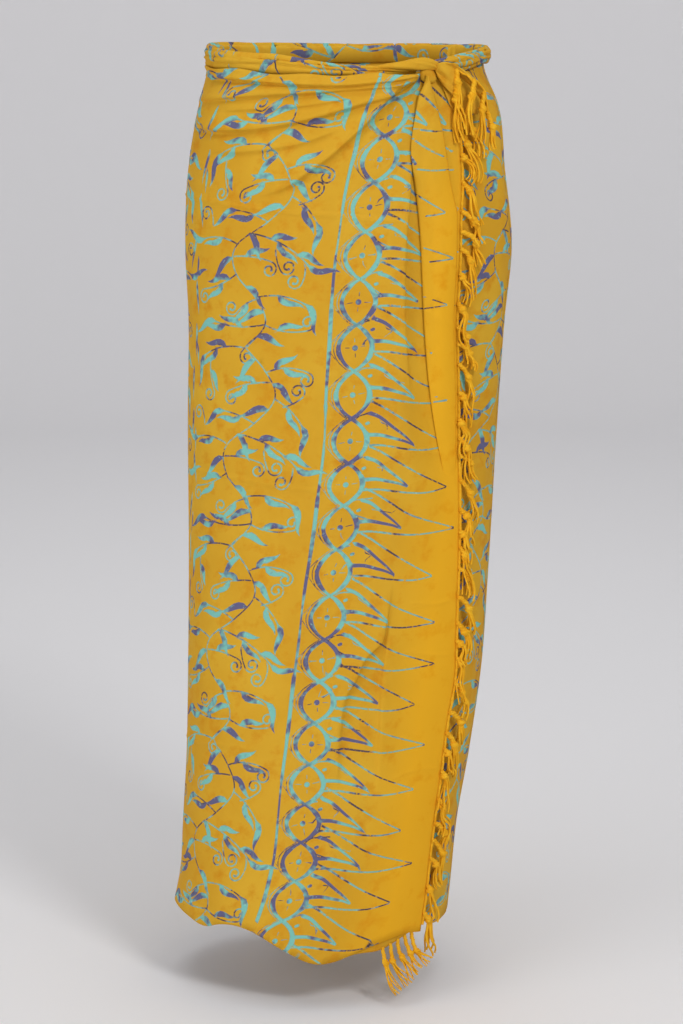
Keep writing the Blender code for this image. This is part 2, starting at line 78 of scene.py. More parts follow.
# Height and turn angle of the fringed free edge, and of the pleat's folded edge and its other side
FREE_EDGE = (
    (0.000, -41.0), (-0.030, -42.0), (-0.080, -42.6), (-0.120, -43.2), (-0.165, -40.4), (-0.245, -39.7),
    (-0.350, -43.1), (-0.435, -45.5), (-0.525, -46.9), (-0.600, -47.8), (-0.650, -49.0), (-0.700, -47.3),
    (-0.750, -47.8), (-0.830, -49.3), (-0.880, -48.4), (-0.930, -47.4),
)
PLEAT_FOLD = (
    (0.000, -30.0), (-0.016, -28.2), (-0.031, -24.5), (-0.054, -22.2), (-0.087, -20.6), (-0.118, -21.8),
    (-0.210, -22.9), (-0.272, -25.0), (-0.348, -29.2), (-0.412, -35.2), (-0.478, -44.1), (-0.500, -47.2),
)
PLEAT_OUTER = (
    (0.000, -29.5), (-0.040, -31.6), (-0.075, -34.0), (-0.100, -35.6), (-0.125, -36.9), (-0.170, -39.3),
    (-0.245, -41.0), (-0.500, -48.0),
)
# Height and turn angle of the crisp edge left of the hollow, and of the lower tuck's slanting ridge
HOLLOW_EDGE = (
    (-0.080, -21.0), (-0.095, -20.7), (-0.138, -18.6), (-0.179, -16.6), (-0.215, -16.0), (-0.241, -16.3),
    (-0.300, -18.0), (-0.360, -21.0),
)
TUCK_RIDGE = (
    (-0.527, -16.9), (-0.568, -15.6), (-0.586, -14.7), (-0.606, -12.8), (-0.614, -9.8), (-0.641, -5.6),
    (-0.661, -2.8), (-0.688, -1.9), (-0.760, -2.5),
)
TUCK_EDGE = (
    (-0.527, -17.6), (-0.575, -16.6), (-0.608, -15.2), (-0.640, -14.5), (-0.690, -15.0), (-0.733, -16.1),
    (-0.790, -17.5),
)
# Folds that fan out from the tie: angle below level, height, spread, near and far reach
GATHERS = (
    (7.0, 0.0030, 2.0, 0.05, 0.36), (11.0, 0.0034, 2.0, 0.04, 0.36), (16.0, 0.0040, 2.8, 0.04, 0.35),
    (24.0, 0.0046, 3.6, 0.04, 0.31), (34.0, 0.0042, 4.0, 0.04, 0.25), (46.0, 0.0048, 4.0, 0.03, 0.20),
    (63.0, 0.0030, 5.0, 0.03, 0.16),
)
# Turn angle and how far the outer turn stands off the body of cloth
OUTER_LIFT = (
    (-60, 0.0052), (-30, 0.0056), (0, 0.0068), (50, 0.0062), (80, 0.0050), (120, 0.0024), (165, 0.0004),
    (270, 0.0000),
)
# The rolled waist: turn angle, centre height, height and depth
ROLL = (
    (-26.9, -0.0035, 0.0090, 0.0090), (-14, -0.0060, 0.0100, 0.0090), (3, -0.0052, 0.0116, 0.0095),
    (18, -0.0023, 0.0172, 0.0100), (29, 0.0006, 0.0208, 0.0100), (50, 0.0036, 0.0196, 0.0105),
    (79, 0.0085, 0.0228, 0.0110), (180, 0.0110, 0.0220, 0.0110), (270, 0.0105, 0.0180, 0.0105),
    (285, 0.0100, 0.0155, 0.0100), (309, 0.0022, 0.0170, 0.0100), (324.5, -0.0020, 0.0120, 0.0090),
)
ROLL_LIFT = 0.0035
# Height and turn angle of each oval in the chain
CHAIN = (
    (0.010, -26.0), (-0.018, -20.0), (-0.050, -13.6), (-0.094, -9.7), (-0.145, -5.8), (-0.195, -3.0),
    (-0.2430, -2.2), (-0.290, -1.7), (-0.340, -1.6), (-0.390, -1.4), (-0.435, -0.6), (-0.479, 0.5),
    (-0.528, 2.0), (-0.577, 3.5), (-0.622, 4.6), (-0.666, 5.5), (-0.711, 6.3), (-0.755, 6.8),
    (-0.797, 7.0), (-0.8365, 7.2), (-0.880, 9.8), (-0.922, 13.9), (-0.968, 17.5),
)


def curve(value, table, column=1):
    """A smooth curve through one column of a table, read at value."""
    rows = np.array(sorted(table), float)
    at, height = rows[:, 0], rows[:, column]
    slope = np.gradient(height, at)
    value = np.clip(value, at[0], at[-1])
    i = np.clip(np.searchsorted(at, value, side="right") - 1, 0, len(at) - 2)
    span = at[i + 1] - at[i]
    t = (value - at[i]) / span
    return (
        height[i] * (1 + 2 * t) * (1 - t) ** 2 + height[i + 1] * t * t * (3 - 2 * t)
        + span * (slope[i] * t * (1 - t) ** 2 - slope[i + 1] * t * t * (1 - t))
    )


def ease(value, low, high):
    """0 below low, 1 above high, and a soft step between."""
    t = np.clip((value - low) / (high - low), 0.0, 1.0)
    return t * t * (3 - 2 * t)


def bump(value, centre, spread):
    return np.exp(-((value - centre) / spread) ** 2)


def surface(turn, z, lift):
    """The points that stand lift outside the body of cloth, at turn angles in degrees and heights."""
    turn, z, lift = np.broadcast_arrays(np.asarray(turn, float), z, lift)
    half_width = curve(z, SECTIONS, 1) + lift
    half_depth = curve(z, SECTIONS, 2) + lift
    power = 2.0 / curve(z, SECTIONS, 5)
    side, front = np.sin(np.radians(turn)), np.cos(np.radians(turn))
    x = curve(z, SECTIONS, 3) - np.sign(side) * np.abs(side) ** power * half_width
    y = curve(z, SECTIONS, 4) - np.sign(front) * np.abs(front) ** power * half_depth
    return np.stack([x, y, z], axis=-1)


def gathers(turn, z):
    along = np.radians(turn - TIE_TURN) * ROUND
    down = TIE_HEIGHT - z
    reach = np.hypot(along, down)
    below = np.degrees(np.arctan2(down, np.maximum(along, 1e-6)))
    height = 0.0 * reach
    for angle, tall, spread, near, far in GATHERS:
        fade = ease(reach, 0.0, near) * (1 - ease(reach, 0.55 * far, far))
        height = height + tall * fade * bump(below, angle, spread)
    return height


def valley(turn, z):
    """The hollow beside the hanging pleat, and the roll of cloth that ends at it in a crisp edge."""
    fold = curve(z, PLEAT_FOLD)
    fade = ease(-z, 0.05, 0.14) * (1 - ease(-z, 0.38, 0.50))
    crisp = ease(-z, 0.085, 0.125) * (1 - ease(-z, 0.27, 0.36))
    gap = turn - curve(z, HOLLOW_EDGE)
    roll = bump(turn, fold + 14.0, 6.5)
    edge = ease(gap, -1.5, 0.0) * np.exp(-(np.maximum(gap, 0.0) / 7.5) ** 2)
    floor = 1 - ease(turn, fold + 1.0, fold + 7.0)
    sunk = 1 - ease(gap, -1.7, -0.2)
    soft = 0.0078 * roll - 0.0030 * floor
    return fade * ((1 - crisp) * soft + crisp * (0.0062 * edge - 0.0042 * sunk))


def second_tuck(turn, z):
    """A tuck lower down, where the cloth laps over a sunk facet and meets it again upright."""
    fade = ease(-z, 0.535, 0.590) * (1 - ease(-z, 0.70, 0.775))
    left = turn - curve(z, TUCK_RIDGE)
    right = curve(z, TUCK_EDGE) - turn
    lap = 0.0058 * ease(left, -1.0, 0.3) * np.exp(-(np.maximum(left, 0.0) / 6.5) ** 2)
    upright = 0.0046 * ease(right, -0.8, 0.3) * np.exp(-(np.maximum(right, 0.0) / 6.0) ** 2)
    return fade * (lap + upright * ease(-z, 0.56, 0.62))


def hem_waves(turn, z):
    swing = 0.010 * bump(turn, 84, 13) - 0.007 * bump(turn, 50, 13) + 0.006 * bump(turn, 20, 15)
    return ease(-z, 0.86, 0.98) * (swing - 0.0015 * bump(turn, -32, 16))


# How much of the gathers shows below the sharper folds
GATHER_SHARE = 0.4


def front_lift(turn, z):
    flare = 0.0018 * ease(-z, 0.80, 0.95) * (1 - ease(turn, 60, 120))
    return (
        curve(turn, OUTER_LIFT) + GATHER_SHARE * gathers(turn, z) + valley(turn, z)
        + second_tuck(turn, z) + hem_waves(turn, z) + flare
    )


def outer_hem(turn):
    return HEM_LEVEL + curve(turn, OUTER_HEM)


def roll_underside(turn):
    """Where the wall of cloth meets the rolled waist."""
    start, end = ROLL[0][0], ROLL[-1][0] - 360
    at = np.where(turn > start, turn, turn + 360)
    low, high = (ROLL[i][1] - ROLL[i][2] / 2 for i in (0, -1))
    share = np.clip((start - turn) / (start - end), 0, 1)
    bridge = low + (high - low) * share - 0.0065 * np.sin(np.pi * share) - SEAM_GAP
    under = curve(at, ROLL, 1) - curve(at, ROLL, 2) / 2 - SEAM_GAP
    return np.where((turn > end) & (turn < start), bridge, under)


def free_edge(z):
    return curve(z, FREE_EDGE)


# The flat cloth: metres along it at each height, measured round the body of cloth
TURNS = np.arange(-100.0, 470.0, 1.0)
LEVELS = np.arange(-1.02, 0.071, 0.01)
laid = surface(TURNS[None, :], LEVELS[:, None], 0.005)
ALONG = np.zeros(laid.shape[:2])
ALONG[:, 1:] = np.cumsum(np.linalg.norm(np.diff(laid, axis=1), axis=2), axis=1)


def along(turn, z):
    i = np.clip((z - LEVELS[0]) / 0.01, 0, len(LEVELS) - 1.001)
    j = np.clip(turn - TURNS[0], 0, len(TURNS) - 1.001)
    i0, j0 = i.astype(int), j.astype(int)
    a, b = i - i0, j - j0
    low = (1 - b) * ALONG[i0, j0] + b * ALONG[i0, j0 + 1]
    high = (1 - b) * ALONG[i0 + 1, j0] + b * ALONG[i0 + 1, j0 + 1]
    return (1 - a) * low + a * high


def flat_of(turn, z):
    """Where a place on the wound cloth lies on the flat cloth."""
    return along(turn, z) - along(curve(z, CHAIN), z), -z


def turn_of(u, v):
    """The turn angle of a place on the flat cloth."""
    z = -v
    middle = curve(z, CHAIN)
    want = u + along(middle, z)
    turn = middle + u / 0.0026
    for _ in range(10):
        slope = along(turn + 0.5, z) - along(turn - 0.5, z)
        turn = turn + (want - along(turn, z)) / np.maximum(slope, 0.0008)
    return turn


# The dyed pattern, as strokes of wax: rows of u, v, half width, and 1 for a thin line
def stroke(u, v, half, thin=0.0):
    u = np.asarray(u, float)
    return np.stack(np.broadcast_arrays(u, v, half, thin), axis=1).astype(float)


def turned(x, y, heading, length, count, bend=0.0, sway=0.0):
    """A line drawn from one place: it bends evenly, or sways out and back."""
    t = np.linspace(0, 1, count)
    angle = np.radians(heading + bend * t + sway * np.sin(np.pi * t))
    step = length / (count - 1)
    u = x + np.concatenate([[0], np.cumsum(np.cos(angle[:-1]) * step)])
    v = y + np.concatenate([[0], np.cumsum(np.sin(angle[:-1]) * step)])
    return u, v, np.degrees(angle)


def leaf(x, y, heading, length, sway, half=0.0040):
    """A leaf is blunt where it leaves its stem, and swings to a fine tip."""
    u, v, _ = turned(x, y, heading, length, 8, sway=sway)
    shape = np.interp(np.linspace(0, 1, 8), (0, 0.1, 0.3, 0.5, 0.75, 1), (0.30, 0.8, 1, 0.9, 0.55, 0.08))
    return stroke(u, v, half * shape)


DOT_STEPS, DOT_RIM = 7, 0.0008
# How far the pattern's own points keep from a sheet's limits
MARGIN = 0.0012


def dot(u, v, radius):
    """A round spot of wax."""
    t = np.linspace(-1.0, 1.0, DOT_STEPS)
    return stroke(u + radius * t, v + 0.0 * t, radius * (1 - np.abs(t)))


SCROLL_WIDE, SCROLL_TURN = 0.0084, 470


def scroll(x, y, heading, way):
    """The curled end of a stem, with a spot at its centre."""
    count = 24
    t = np.linspace(0, 1, count)
    angle = np.radians(heading + way * SCROLL_TURN * t)
    step = SCROLL_WIDE * (1 - 0.74 * t) * math.radians(SCROLL_TURN / (count - 1))
    u = x + np.concatenate([[0], np.cumsum(np.cos(angle[:-1]) * step[:-1])])
    v = y + np.concatenate([[0], np.cumsum(np.sin(angle[:-1]) * step[:-1])])
    return [stroke(u, v, np.linspace(0.0010, 0.0013, count), 1), dot(u[-1], v[-1], 0.0017)]


# One repeat of the vine field, in millimetres: its running stem, the leaves on it as share down, heading,
# length and sway, then the sprigs that leave it
VINE_UNIT = 0.00092
VINE_WIDE, VINE_TALL, VINE_STEP = 0.153, 230 * VINE_UNIT, 0.165
RUNNING_STEM = (
    (0, 88), (24, 64), (56, 50), (86, 74), (112, 108), (146, 106), (174, 78), (202, 66), (230, 88),
)
STEM_LEAVES = (
    (12, 22, 36, 44), (40, 168, 33, -46), (70, -18, 36, 48), (100, 148, 33, -44), (128, 12, 37, 50),
    (160, 166, 34, -48), (188, -6, 36, 44), (216, 192, 33, -46),
)
# x, y, heading, length, even bend, way of its curled end, then its leaves: share along, heading from the
# stem, length, sway
SPRIGS = (
    (88, 0, -8, 62, 42, 0, ((0.42, -46, 32, 48), (0.72, 52, 34, -46), (1.0, 6, 38, 52))),
    (138, 12, 84, 38, 34, -1, ((0.42, 50, 26, -44),)),
    (62, 27, 204, 50, -50, -1, ((0.26, 52, 30, -48), (0.50, -50, 30, 46))),
    (50, 57, 152, 46, -34, 0, ((0.45, -52, 32, 46), (1.0, 4, 34, -50))),
    (58, 38, 2, 50, 24, 1, ((0.30, -50, 28, 44), (0.56, 54, 28, -44))),
    (40, 66, 196, 22, 24, 1, ()),
    (74, 86, -28, 44, 26, 0, ((0.40, 56, 32, -50), (1.0, 6, 34, 46))),
    (108, 112, -24, 52, 44, 0, ((0.50, 50, 28, -44), (1.0, 0, 37, -52))),
    (146, 91, -84, 14, 20, 1, ()),
    (94, 99, 172, 84, -40, 0, (
        (0.30, 50, 28, -40), (0.48, -48, 33, 48), (0.74, 46, 31, -44), (1.0, 6, 35, 50),
    )),
    (60, 118, 100, 22, 20, 1, ()),
    (110, 126, 186, 46, -26, -1, ((0.30, 50, 28, -44),)),
    (24, 136, 96, 18, -30, -1, ()),
    (106, 146, 36, 50, -30, 1, ((0.26, -54, 32, 50), (0.50, 48, 30, -46))),
    (80, 172, 194, 62, -46, 0, ((0.50, -46, 32, 46), (1.0, -4, 36, -52))),
    (80, 174, 20, 26, 30, -1, ((0.40, 50, 26, -44),)),
    (66, 202, 12, 68, -28, 0, ((0.50, -48, 32, 44), (0.76, 44, 31, -44), (1.0, 8, 36, 50))),
    (66, 203, 158, 50, 36, 1, ((0.34, 50, 30, -46),)),
    (72, 214, 34, 28, 20, 1, ()),
)


def vine(origin_u, origin_v, flip):
    """One repeat of the vine field, mirrored where flip is -1."""
    drawn = []
    share = np.linspace(0, 230, 50)
    drawn.append(stroke(curve(share, RUNNING_STEM) * VINE_UNIT, share * VINE_UNIT, 0.0010, 1))
    for down, heading, long, sway in STEM_LEAVES:
        across = curve(down, RUNNING_STEM) * VINE_UNIT
        drawn.append(leaf(across, down * VINE_UNIT, heading, long / 1000, sway))
    for x, y, heading, length, bend, curl, leaves in SPRIGS:
        count = 10
        u, v, angle = turned(x * VINE_UNIT, y * VINE_UNIT, heading, length * VINE_UNIT, count, bend=bend)
        drawn.append(stroke(u, v, np.linspace(0.00105, 0.0009, count), 1))
        if curl:
            drawn += scroll(u[-1], v[-1], angle[-1], curl)
        for at, off, long, sway in leaves:
            k = min(int(round(at * (count - 1))), count - 1)
            drawn.append(leaf(u[k], v[k], angle[k] + off, long / 1000, sway))
    for line in drawn:
        if flip < 0:
            line[:, 0] = VINE_WIDE - line[:, 0]
        line[:, 0] += origin_u
        line[:, 1] += origin_v
    return drawn


def divider(u, first_v, last_v):
    """An upright row of long narrow leaves between two fields of vine."""
    drawn = []
    for k in range(int((last_v - first_v) / 0.046) + 1):
        v = first_v + 0.046 * k
        lean = 90 + 9 * math.sin(2.1 * k)
        drawn.append(leaf(u + 0.0025 * math.sin(1.7 * k), v, lean, 0.037, 10 * (-1) ** k, 0.0023))
        if k % 2:
            drawn.append(leaf(u - 0.004, v + 0.020, lean + 14, 0.026, -16, 0.0018))
    return drawn


# The upright line lies this far along from the chain; an oval is this wide on each side
CHAIN_LINE_U = 0.027
OVAL_WIDE = 0.0175
THIN_HALF = 0.0006
# The cross strokes round an oval's dot: heading, and their near and far ends
CROSS_STROKES = ((8, 0.0062, 0.0098), (97, 0.0060, 0.0095), (186, 0.0064, 0.0104), (268, 0.0066, 0.0100))
# Each line of a spear in millimetres from the crossing that it leaves, its half widths, and 1 for a thin line
SPEAR_LINES = (
    (((-21, -18), (-33, -12), (-52, 0), (-76, 14), (-116, 30)), (0.0014, 0.0009), 1),
    (((-19, 28), (-35, 28), (-60, 32), (-86, 34), (-116, 31)), (0.0014, 0.0009), 1),
    (((-19, -6), (-29, -2), (-42, 8), (-55, 18), (-64, 26)), (0.0023, 0.0010), 0),
    (((-19, 17), (-31, 17), (-44, 20), (-55, 23), (-64, 27)), (0.0023, 0.0012), 0),
    (((-4, 1), (-8, -3), (-13, -5), (-19, -6)), (0.0008, 0.0010), 1),
    (((-4, 1), (-9, 5), (-14, 11), (-19, 17)), (0.0008, 0.0010), 1),
    (((-31, 4), (-36, 6), (-41, 10)), (0.0008, 0.0006), 1),
)


def oval(top, foot, seed):
    """One oval of the chain, with the spike that points from it to the fringe."""
    tall, middle = foot - top, (top + foot) / 2
    t = np.linspace(0, 1, 15)
    bulge = OVAL_WIDE * np.sin(np.pi * t) ** 0.78
    half = 0.0019 + 0.0010 * np.sin(np.pi * t) + 0.0003 * np.sin(13 * t + seed)
    drawn = [stroke(side * bulge, top + tall * t, half) for side in (-1, 1)]
    drawn.append(dot(0.0, middle, 0.0032))
    for k, (heading, *reach) in enumerate(CROSS_STROKES):
        way, reach = math.radians(heading + 9 * math.sin(seed * 1.9 + k)), np.array(reach)
        drawn.append(stroke(reach * math.cos(way), middle + reach * math.sin(way), THIN_HALF, 1))
    # The thin second outline, and its points towards the upright line
    wide = np.linspace(0.16, 0.84, 12)
    drawn.append(stroke(0.0045 + OVAL_WIDE * np.sin(np.pi * wide) ** 0.7, top + tall * wide, THIN_HALF, 1))
    for side in (-1, 1):
        rise = side * np.array([0, 0.0022, 0.0105, 0.0215])
        drawn.append(stroke([0.0050, 0.0085, 0.0180, CHAIN_LINE_U], foot + rise, THIN_HALF, 1))
    # A kite with a dot leaves each crossing, and opens into two nested spears that lean towards the hem
    drift = 0.0025 * math.sin(seed * 1.3)
    for shape, thick, thin in SPEAR_LINES:
        way = np.array(shape, float) / 1000
        if thin:
            way[-1, 0] -= 0.011 * math.sin(seed * 2.3)
        t = np.linspace(0, 1, 13)
        keys = np.linspace(0, 1, len(way))
        u, v = (curve(t, np.column_stack([keys, way[:, k]]).tolist()) for k in (0, 1))
        half = thick[0] + (thick[1] - thick[0]) * t
        drawn.append(stroke(u, foot + v + drift * t, half, thin))
    for along_dot in (-0.0008, 0.0008):
        drawn.append(dot(-0.0168 + along_dot, foot + 0.0048 + 0.4 * along_dot, 0.0019))
    return drawn


def pattern(first_u, last_u):
    """Every stroke of the pattern between two places along the cloth."""
    drawn = []
    if first_u < 0.06:
        rows = sorted(-z for z, _ in CHAIN)
        edges = [(a + b) / 2 for a, b in zip(rows, rows[1:])]
        for k, (top, foot) in enumerate(zip(edges, edges[1:])):
            drawn += oval(top, foot, k)
        for v in np.arange(-0.05, 1.0, 0.05):
            down = v + np.array([0, 0.017, 0.034, 0.0502])
            half = 0.0018 + 0.0006 * math.sin(31 * v)
            drawn.append(stroke(CHAIN_LINE_U + 0.0004 * np.sin(60 * down), down, half))
    start = CHAIN_LINE_U + 0.008
    for column in range(int((last_u - start) / VINE_STEP) + 1):
        left = start + column * VINE_STEP
        if left + VINE_STEP < first_u:
            continue
        for row in range(6):
            drawn += vine(left, -0.13 + row * VINE_TALL + 0.04 * (column % 2), (-1) ** column)
        drawn += divider(left + VINE_WIDE + 0.005, -0.05, 0.96)
    return drawn


def dyed_faces(grid_u, grid_v, drawn, inside, lines=()):
    """A flat sheet of triangles that follow every stroke. With each point goes how deep it lies in a
    stroke, in millimetres, and 1 if that stroke is a thin line."""
    rows, columns = grid_u.shape
    number = np.arange(rows * columns).reshape(rows, columns)
    rim = np.concatenate([number[0, :], number[1:, -1], number[-1, -2::-1], number[-2:0:-1, 0]])
    points = [np.stack([grid_u.ravel(), grid_v.ravel()], axis=1)]
    edges = [np.stack([rim, np.roll(rim, -1)], axis=1)]
    total = rows * columns
    for line in lines:
        points.append(line)
        edges.append(total + np.stack([np.arange(len(line) - 1), np.arange(1, len(line))], axis=1))
        total += len(line)
    ring = np.linspace(0, 2 * np.pi, 12, endpoint=False)
    for line in drawn:
        if len(line) == DOT_STEPS:
            for radius in (0.0, line[:, 2].max(), line[:, 2].max() + DOT_RIM):
                round_it = line[:, :2].mean(axis=0) + radius * np.stack([np.cos(ring), np.sin(ring)], axis=1)
                round_it = round_it[inside(round_it[:, 0], round_it[:, 1], MARGIN)]
                points.append(round_it)
                total += len(round_it)
            continue
        ahead = np.gradient(line[:, :2], axis=0)
        ahead /= np.maximum(np.linalg.norm(ahead, axis=1, keepdims=True), 1e-9)
        across = np.stack([-ahead[:, 1], ahead[:, 0]], axis=1) * line[:, 2:3]
        count = len(line)
        both = np.concatenate([line[:, :2] + across, line[:, :2], line[:, :2] - across])
        run = np.stack([np.arange(count - 1), np.arange(1, count)], axis=1)
        last = count - 1
        ends = np.array([[0, 1], [1, 2]]) * count
        ends = np.concatenate([ends, ends + last])
        joined = np.concatenate([run, run + count, run + 2 * count, ends])
        held = inside(both[:, 0], both[:, 1], MARGIN)
        if not held.any():
            continue
        renumber = np.cumsum(held) - 1
        joined = joined[held[joined].all(axis=1)]
        points.append(both[held])
        edges.append(total + renumber[joined])
        total += int(held.sum())
    points = np.concatenate(points)
    edges = np.concatenate(edges)
    made, _, faces, *_ = delaunay_2d_cdt([Vector(p) for p in points], edges.tolist(), [], 0, 1e-6, False)
    flat = np.array([(p.x, p.y) for p in made])
    faces = np.array([f[:3] for f in faces])
    middle = flat[faces].mean(axis=1)
    corners = flat[faces]
    twice = np.cross(corners[:, 1] - corners[:, 0], corners[:, 2] - corners[:, 0])
    faces = faces[inside(middle[:, 0], middle[:, 1], 0.0) & (np.abs(twice) > 1e-10)]
    used = np.unique(faces)
    renumber = np.zeros(len(flat), int)
    renumber[used] = np.arange(len(used))
    flat, faces = flat[used], renumber[faces]
    return flat, faces, *depth_in_strokes(flat, drawn)


def depth_in_strokes(flat, drawn):
    samples = []
    for line in drawn:
        length = np.linalg.norm(np.diff(line[:, :2], axis=0), axis=1).sum()
        count = max(int(length / 0.0007), len(line))
        at = np.linspace(0, len(line) - 1, (len(line) - 1) * max(1, count // (len(line) - 1)) + 1)
        samples.append(np.stack([np.interp(at, np.arange(len(line)), line[:, k]) for k in range(4)], axis=1))
    samples = np.concatenate(samples) if samples else np.zeros((0, 4))
    dye = np.full(len(flat), -3.0)
    fine = np.zeros(len(flat))
    if not len(samples):
        return dye, fine
    tree = KDTree(len(samples))
    for i, (u, v, _, _) in enumerate(samples.tolist()):
        tree.insert((u, v, 0), i)
    tree.balance()
    halves, thins = samples[:, 2].tolist(), samples[:, 3].tolist()
    for k, (u, v) in enumerate(flat.tolist()):
        best, flag = -0.003, 0.0
        for _, i, gap in tree.find_n((u, v, 0), 5):
            if halves[i] - gap > best:
                best, flag = halves[i] - gap, thins[i]
        dye[k], fine[k] = best * 1000, flag
    return dye, fine


def dyed_mesh(name, grid_u, grid_v, drawn, inside, place, lines=()):
    flat, faces, dye, fine = dyed_faces(grid_u, grid_v, drawn, inside, lines)
    return shell(name, place(flat[:, 0], flat[:, 1]), faces, flat, dye, fine)


def shell(name, outer, faces, flat, dye, fine):
    """A closed thin sheet from its outer face: the inner face lies one wall deeper, and a rim joins them."""
    normals = np.zeros_like(outer)
    corners = outer[faces]
    facing = np.cross(corners[:, 1] - corners[:, 0], corners[:, 2] - corners[:, 0])
    for k in range(3):
        np.add.at(normals, faces[:, k], facing)
    normals /= np.maximum(np.linalg.norm(normals, axis=1, keepdims=True), 1e-12)
    middle = np.array([curve(outer[:, 2], SECTIONS, 3), curve(outer[:, 2], SECTIONS, 4), outer[:, 2]]).T
    if np.sum(normals * (outer - middle)) < 0:
        normals, faces = -normals, faces[:, ::-1]
    count = len(outer)
    sides = np.concatenate([faces[:, [0, 1]], faces[:, [1, 2]], faces[:, [2, 0]]])
    keys = np.sort(sides, axis=1) @ np.array([count, 1])
    _, first, copies = np.unique(keys, return_index=True, return_counts=True)
    rim = sides[first[copies == 1]]
    a, b = rim[:, 0], rim[:, 1]
    walls = np.concatenate([np.stack([b, a, a + count], axis=1), np.stack([b, a + count, b + count], axis=1)])
    points = np.concatenate([outer, outer - normals * CLOTH_WALL])
    faces = np.concatenate([faces, faces[:, ::-1] + count, walls])
    return piece(name, points, faces, np.tile(flat, (2, 1)), np.tile(dye, 2), np.tile(fine, 2))


def piece(name, points, faces, flat, dye, fine):
    """An object from its points and faces, with its place on the flat cloth as a UV map."""
    made = bpy.data.meshes.new(name)
    made.from_pydata(points.tolist(), [], faces.tolist())
    made.shade_smooth()
    for label, values in (("dye", dye), ("fine", fine)):
        made.attributes.new(label, "FLOAT", "POINT").data.foreach_set("value", values)
    loops = np.zeros(len(made.loops), int)
    made.loops.foreach_get("vertex_index", loops)
    made.uv_layers.new(name="cloth").uv.foreach_set("vector", flat[loops].ravel())
    made_object = bpy.data.objects.new(name, made)
    bpy.context.scene.collection.objects.link(made_object)
    return made_object


def grid_on(first, last, hem, top, across, up):
    """Turn angles and heights of a grid between two upright limits, a hem and a top edge."""
    p, q = np.meshgrid(across, up, indexing="ij")
    z = HEM_LEVEL * (1 - q)
    for _ in range(4):
        turn = first(z) + (last(z) - first(z)) * p
        z = hem(turn) + (top(turn) - hem(turn)) * q
    return turn, z


def within(first, last, hem, top):
    """Whether places on the flat cloth lie inside such a grid, clear of its limits by a margin in metres."""
    def inside(u, v, margin):
        turn, z = turn_of(u, v), -v
        edge = math.degrees(margin / ROUND)
        low, high = np.minimum(first(z), last(z)), np.maximum(first(z), last(z))
        upright = (turn > low + edge) & (turn < high - edge)
        return upright & (z > hem(turn) + margin) & (z < top(turn) - margin)
    return inside


def steps(count, power=1.0):
    """Steps from 0 to 1, closer together near 1 with a higher power."""
    return 1 - (1 - np.arange(count + 1) / count) ** power


def constant(value):
    return lambda z: value + 0.0 * z


# The folds that run from the tie to the plain side, as lines of turn angle and height, then how far each
# stands up, how wide it is above its crest, and how wide below, where it drops sharply
FOLDS = (
    (((-30, -0.0080), (-14, -0.0155), (4, -0.0200), (18, -0.0190), (49, -0.0140), (92, -0.0110)),
     0.0044, 0.0085, 0.0016),
    (((-30, -0.0088), (-16, -0.0205), (-5, -0.0228), (9, -0.0264), (34, -0.0305), (95, -0.0390)),
     0.0036, 0.0085, 0.0019),
    (((-30, -0.0096), (-15, -0.0293), (-4, -0.0384), (7, -0.0485), (23, -0.0599), (90, -0.0640)),
     0.0046, 0.0120, 0.0023),
    (((-29, -0.0110), (-16, -0.0250), (-8, -0.0485), (-1, -0.0699), (6, -0.0923), (12, -0.1067),
      (18, -0.1202), (33, -0.1360)), 0.0056, 0.0140, 0.0024),
    (((-4, -0.0300), (10, -0.0385), (27, -0.0435), (60, -0.0470)), 0.0018, 0.0060, 0.0016),
    (((2, -0.0620), (14, -0.0770), (30, -0.0860), (60, -0.0900)), 0.0026, 0.0100, 0.0026),
)
FOLD_HEIGHT = 1.25


def front_folds(turn, z):
    height = 0.0 * turn
    for line, tall, soft, sharp in FOLDS:
        first, last = line[0][0], line[-1][0]
        slope = (curve(turn + 1, line) - curve(turn - 1, line)) / (2 * math.radians(1) * ROUND)
        gap = (z - curve(turn, line)) / np.hypot(1.0, slope)
        fade = ease(turn, first, first + 7) * (1 - ease(turn, last - 0.35 * (last - first), last))
        crest = np.exp(-(gap / np.where(gap > 0, soft, sharp)) ** 2)
        height = height + FOLD_HEIGHT * tall * fade * (crest - 0.35 * bump(gap, -2.0 * sharp, 1.3 * sharp))
    return height


# Pressed packing folds, as lines of turn angle and height, with how far each stands up
PRESSED = (
    (((89, -0.1365), (58, -0.1403), (37, -0.1458), (18, -0.1510), (3, -0.1537), (-8, -0.1585),
      (-17, -0.1600)), 0.0012),
    (((77, -0.4273), (51, -0.4299), (29, -0.4350), (12, -0.4406), (0, -0.4413)), 0.0008),
    (((89, -0.7321), (50, -0.7219), (25, -0.7200)), 0.0008),
    (((-24, -0.0980), (-31, -0.1080), (-37, -0.1120)), 0.0006),
    (((-23, -0.4020), (-32, -0.4040), (-44, -0.4000)), 0.0007),
    (((-22, -0.5600), (-33, -0.5660), (-46, -0.5620)), 0.0008),
    (((-20, -0.6120), (-31, -0.6180), (-47, -0.6240)), 0.0007),
    (((-20, -0.7520), (-33, -0.7440), (-46, -0.7470)), 0.0006),
)


def pressed(turn, z):
    height = 0.0 * turn
    for line, tall in PRESSED:
        ends = sorted(at for at, _ in line)
        gap = z - curve(turn, line)
        fade = ease(turn, ends[0], ends[0] + 5) * (1 - ease(turn, ends[-1] - 5, ends[-1]))
        height = height + tall * fade * np.exp(-(gap / 0.0022) ** 2)
    return height


def front_top(turn):
    """The upper edge of the front, which the folds push up over the roll in places."""
    pushed = bump(turn, -9, 8) + 0.7 * bump(turn, 16, 8) + 0.9 * bump(turn, 46, 13) + 0.6 * bump(turn, 78, 9)
    return roll_underside(turn) + 0.0042 * pushed


